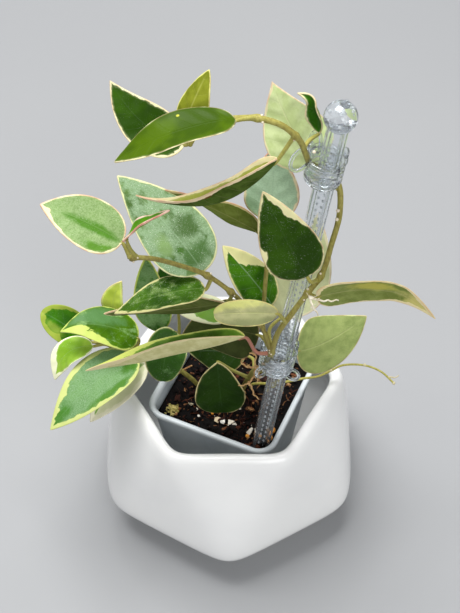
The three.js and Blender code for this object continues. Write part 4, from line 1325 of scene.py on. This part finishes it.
def add_blade(form, leaf, look, seed):
    """The blade as a closed skin, with the figures that its finish reads at each point."""
    turn = np.linspace(0, math.pi, BLADE_ROWS)
    t = 0.002 + 0.994 * (0.5 - 0.5 * np.cos(turn)) ** 0.95
    s = np.concatenate([-HALF_ACROSS[::-1], [0], HALF_ACROSS])
    middle, half = blade_points(leaf, t, s)
    spine = middle[:, len(s) // 2]
    run = np.concatenate([[0], np.cumsum(np.linalg.norm(np.diff(spine, axis=0), axis=1))])
    flat_x, flat_y = half[:, None] * s[None, :], np.broadcast_to(run[:, None], (len(t), len(s)))
    edge = edge_distance(flat_x, flat_y, half, run)
    places, left, right = zip(*look["margin"])
    on_left, on_right = [np.interp(t, places, widths)[:, None] for widths in (left, right)]
    cream = edge - np.where(s[None, :] < 0, on_left, on_right)
    along, across = np.gradient(middle, axis=0), np.gradient(middle, axis=1)
    normal = unit(np.cross(across, along))
    waves = np.cos(2 * math.pi * (flat_y - 0.75 * np.abs(flat_x)) / VEIN_PITCH + seed)
    quilt = waves * 4 * np.abs(s) * (1 - np.abs(s))
    sway = np.sin(flat_y / 6.5 + 1.7 * seed) * np.sin(flat_x / 5 + seed)
    inside = np.minimum(1, half / 6)[:, None]
    middle = middle + normal * ((0.16 * quilt + 0.25 * sway) * inside)[:, :, None]
    thick = LEAF_T / 2 * np.sqrt(1 - s**10)[None, :] * np.sqrt(1 - np.abs(2 * t - 1) ** 30)[:, None]
    upper, lower = middle + normal * thick[:, :, None], middle - normal * thick[:, :, None]
    back = slice(len(s) - 2, 0, -1)

    def round_trip(values):
        return np.concatenate([values, values[:, back]], axis=1)

    rings = np.concatenate([upper, lower[:, back]], axis=1)
    under = np.concatenate([np.zeros((len(t), len(s))), np.ones((len(t), len(s) - 2))], axis=1)
    under[:, [0, len(s) - 1]] = 0.5
    spread = np.broadcast_to(s[None, :], flat_x.shape)
    down = np.broadcast_to(t[:, None], flat_x.shape)
    figures = {
        "flat": round_trip(np.stack([flat_x, flat_y, np.full(flat_x.shape, 7.3 * seed)], axis=-1)),
        "blade": round_trip(np.stack([down, spread, cream], axis=-1)),
        "edge": round_trip(edge),
        "under": under,
    }
    ready = {}
    for key, values in figures.items():
        ends = np.stack([values[0].mean(0), values[-1].mean(0)])
        ready[key] = np.concatenate([values.reshape(-1, *values.shape[2:]), ends])
    points, faces = skin(rings)
    form.add((points, [face[::-1] for face in faces]), stalk=0, **ready)


def add_stalk(form, leaf):
    """The stalk, which swells where it leaves the stem and ends inside the blade."""
    patch = blade_points(leaf, np.array([0.02, 0.05]), np.array([-0.1, 0.0, 0.1]))[0]
    up = unit(np.cross(patch[0, 2] - patch[0, 0], patch[1, 1] - patch[0, 1]))
    into = patch[1, 1] - 0.5 * up
    bend = [leaf["bend"]] if "bend" in leaf else []
    line = smooth_line([leaf["start"], *bend, np.array(leaf["base"]) - 0.4 * up, into], 0.7)
    run = np.linspace(0, 1, len(line))
    reach = STALK_R * (0.92 + 0.28 * np.exp(-((run / 0.1) ** 2)) - 0.25 * run**3 - 0.35 * run**12)
    points, faces = skin(tube(line, reach, 10))
    count = len(points)
    flat = np.column_stack([points[:, 0], points[:, 2], points[:, 1]])
    form.add((points, faces), flat=flat, blade=np.tile([0, 0, 9.0], (count, 1)), edge=9, under=0, stalk=1)


def leaf_skin(name, look):
    f = Finish(name)
    flat = f.place("flat")
    across, along, _ = f.parts(flat)
    t, s, cream = f.parts(f.place("blade"))
    edge, under, stalk = f.figure("edge"), f.figure("under"), f.figure("stalk")
    ragged, cream_shade = look.get("ragged", 0.5), look.get("cream", "e2dcae")
    under_deep, under_cream = look.get("under_deep", "7b8c54"), look.get("under_cream", "cfcba0")
    broad = f.noise(flat, 0.07, 2)
    blotch = f.noise(f.stretched(flat, (1, 0.75, 1)), 0.2, 4, 0.6)
    torn = f.noise(f.stretched(flat, (1, 0.6, 1), (9, 3, 0)), 0.34, 2.5, 0.5)
    grain = f.noise(flat, 1.5, 3, 0.6)
    speck = f.noise(flat, 2.6, 2, 0.5)

    def marked(shade, marks, core):
        for along_at, across_at, long, wide, mark in marks:
            ahead, beside = (t - along_at) / long, (s - across_at) / wide
            near = (ahead * ahead + beside * beside).root() + (blotch - 0.5) * 1.6
            shade = f.tint(shade, mark, near.step(1.3, core) * 0.9)
        return shade

    # Veins: a midrib, and side veins that run forward from it
    wander = (broad - 0.5) * 5
    rib = abs(across).step(0.5, 0.1) * t.step(0.97, 0.7)
    beside = abs((along - abs(across) * 0.8 + wander).part_of(VEIN_PITCH) - 0.5)
    laterals = beside.step(0.035, 0.0) * abs(s).step(0.95, 0.6)
    veins = rib + laterals * 0.45

    body = f.tint(look["green"], look["deep"], broad.step(0.4, 0.62))
    body = f.tint(body, look["deep"], grain.step(0.55, 0.75) * 0.35)
    silver = look.get("silver", 0.15)
    if silver:
        patch = (blotch + silver - 0.5).step(0.44, 0.62) * (0.6 + 0.4 * grain.step(0.35, 0.6))
        body = f.tint(body, look.get("silver_colour", "8fae90"), patch * 0.85)
    body = marked(body, look.get("marks", ()), 0.45)
    body = f.tint(body, look.get("silver_colour", "a9c0a0"), veins * look.get("vein", 0.08))
    flecks = speck.step(0.64, 0.7) * (0.25 + 0.75 * blotch.step(0.45, 0.6)) * look.get("fleck", 0.15)
    body = f.tint(body, "eef2e4", flecks)
    tear = (torn - 0.5) * (0.5 + (edge - cream) * ragged) * 2
    fringe = (cream + tear).step(0.8, 0.1)
    body = f.tint(body, f.tint(look["green"], cream_shade, 0.3), fringe * 0.45)
    bordered = (cream + tear).step(0.15, -0.12)
    border = f.tint(cream_shade, look["green"], broad.step(0.62, 0.9) * 0.3)
    top = f.tint(body, border, bordered)

    base = f.tint(look.get("under", "93a268"), under_deep, blotch.step(0.35, 0.65))
    base = f.tint(base, under_deep, grain.step(0.5, 0.75) * 0.4)
    base = marked(base, look.get("under_marks", ()), 0.4)
    if "freckles" in look:
        dots = speck.step(0.62, 0.7) * (t + s * -0.3).step(0.3, 0.8) * look["freckles"]
        base = f.tint(base, "3f4a30", dots)
    base = f.tint(base, under_cream, bordered)
    base = f.tint(base, under_cream, rib * 0.2 + laterals * 0.08)

    blushing = edge.step(0.75, 0.1) * torn.step(0.3, 0.6) * look.get("pink", 0.4)
    skin_colour = f.tint(f.tint(top, base, under), "c98e78", blushing)
    petiole = f.tint(look.get("stalk", "a8a258"), "7c7636", grain.step(0.4, 0.7) * 0.5)
    shade = f.tint(skin_colour, petiole, stalk)
    relief = 0.5 + (under - 0.5) * veins + 0.25 * (blotch - 0.5) + 0.12 * grain
    surface = f.shader(
        Base_Color=shade,
        Roughness=0.36 + 0.14 * blotch + 0.2 * under,
        Specular_IOR_Level=0.08,
        Coat_Weight=0.03 * (1 - under),
        Coat_Roughness=0.22,
        Normal=f.bump(relief, 0.5, 0.5),
    )
    return f.close(surface)


def leaves():
    for seed, (name, leaf) in enumerate(LEAVES.items(), 1):
        look = LOOKS[name]
        form = Form()
        add_blade(form, leaf, look, seed)
        add_stalk(form, leaf)
        form.make(name.replace("leaf_", "blade_"), leaf_skin(name, look), look["slot"], name)


# The scene

UPPER_CLIP = dict(
    height=219, aside=(-1, 2.5), radius=8, depth=13, teeth=3, loop=(4.6, 7.8),
    handles=[(math.pi + 0.1, -0.3, 4.5), (2, -0.3, 4.5)],
)
LOWER_CLIP = dict(
    height=89, aside=(-2.1, -0.3), radius=8.2, depth=13, teeth=5, loop=(3.6, 5.6),
    handles=[(-0.75, 0.7, -4), (-2.4, 0.7, -4)],
)


# The floor, the lamps and the camera are placed in metres
FLOOR_REACH = 3.0
SKY = (0.92, 0.94, 0.97, 1)
SKY_POWER = 0.42
CAMERA_AT = (0.0006, -0.4730, 0.7616)
CAMERA_LENS = 88.09
CAMERA_SENSOR = 36
# Up from looking straight down
CAMERA_TILT = math.radians(38)


def floor():
    mesh = bpy.data.meshes.new("floor")
    near, far = -FLOOR_REACH, FLOOR_REACH
    mesh.from_pydata([(near, near, 0), (far, near, 0), (far, far, 0), (near, far, 0)], [], [(0, 1, 2, 3)])
    f = Finish("pale floor")
    cloud = f.noise(f.solid_place(), 0.004, 2)
    mesh.materials.append(f.close(f.shader(Base_Color=f.tint("999a9c", "a1a2a3", cloud), Roughness=0.7)))
    ground = bpy.data.objects.new("floor", mesh)
    bpy.context.scene.collection.objects.link(ground)


def lamp(name, at, target, size, power):
    light = bpy.data.lights.new(name, "AREA")
    light.shape = "SQUARE"
    light.size = size
    light.energy = power
    holder = bpy.data.objects.new(name, light)
    holder.location = at
    holder.rotation_euler = (Vector(target) - Vector(at)).to_track_quat("-Z", "Y").to_euler()
    bpy.context.scene.collection.objects.link(holder)


def studio():
    scene = bpy.context.scene
    scene.view_settings.view_transform = "Standard"
    scene.world = bpy.data.worlds.new("studio")
    scene.world.use_nodes = True
    sky = scene.world.node_tree.nodes["Background"]
    sky.inputs[0].default_value = SKY
    sky.inputs[1].default_value = SKY_POWER
    lamp("overhead", at=(-0.25, 0.25, 1.5), target=(0, 0, 0.1), size=0.9, power=30)
    lamp("front", at=(0.5, -1.2, 0.9), target=(0, 0, 0.15), size=1.0, power=9)
    camera = bpy.data.cameras.new("camera")
    camera.sensor_fit = "VERTICAL"
    camera.sensor_height = CAMERA_SENSOR
    camera.lens = CAMERA_LENS
    holder = bpy.data.objects.new("camera", camera)
    holder.location = CAMERA_AT
    holder.rotation_euler = (CAMERA_TILT, 0, 0)
    scene.collection.objects.link(holder)
    scene.camera = holder


studio()
floor()
planter()
nursery_pot()
soil_bed()
bark_chips()
grit()
prills()
fibres()
moss_lump()
stake_bar()
stake_pimples()
ball_bubbles()
clip("upper_clip", "clip_upper", **UPPER_CLIP)
clip("lower_clip", "clip_lower", **LOWER_CLIP)
vine_stems()
low_stem()
bare_runner()
aerial_roots()
leaves()
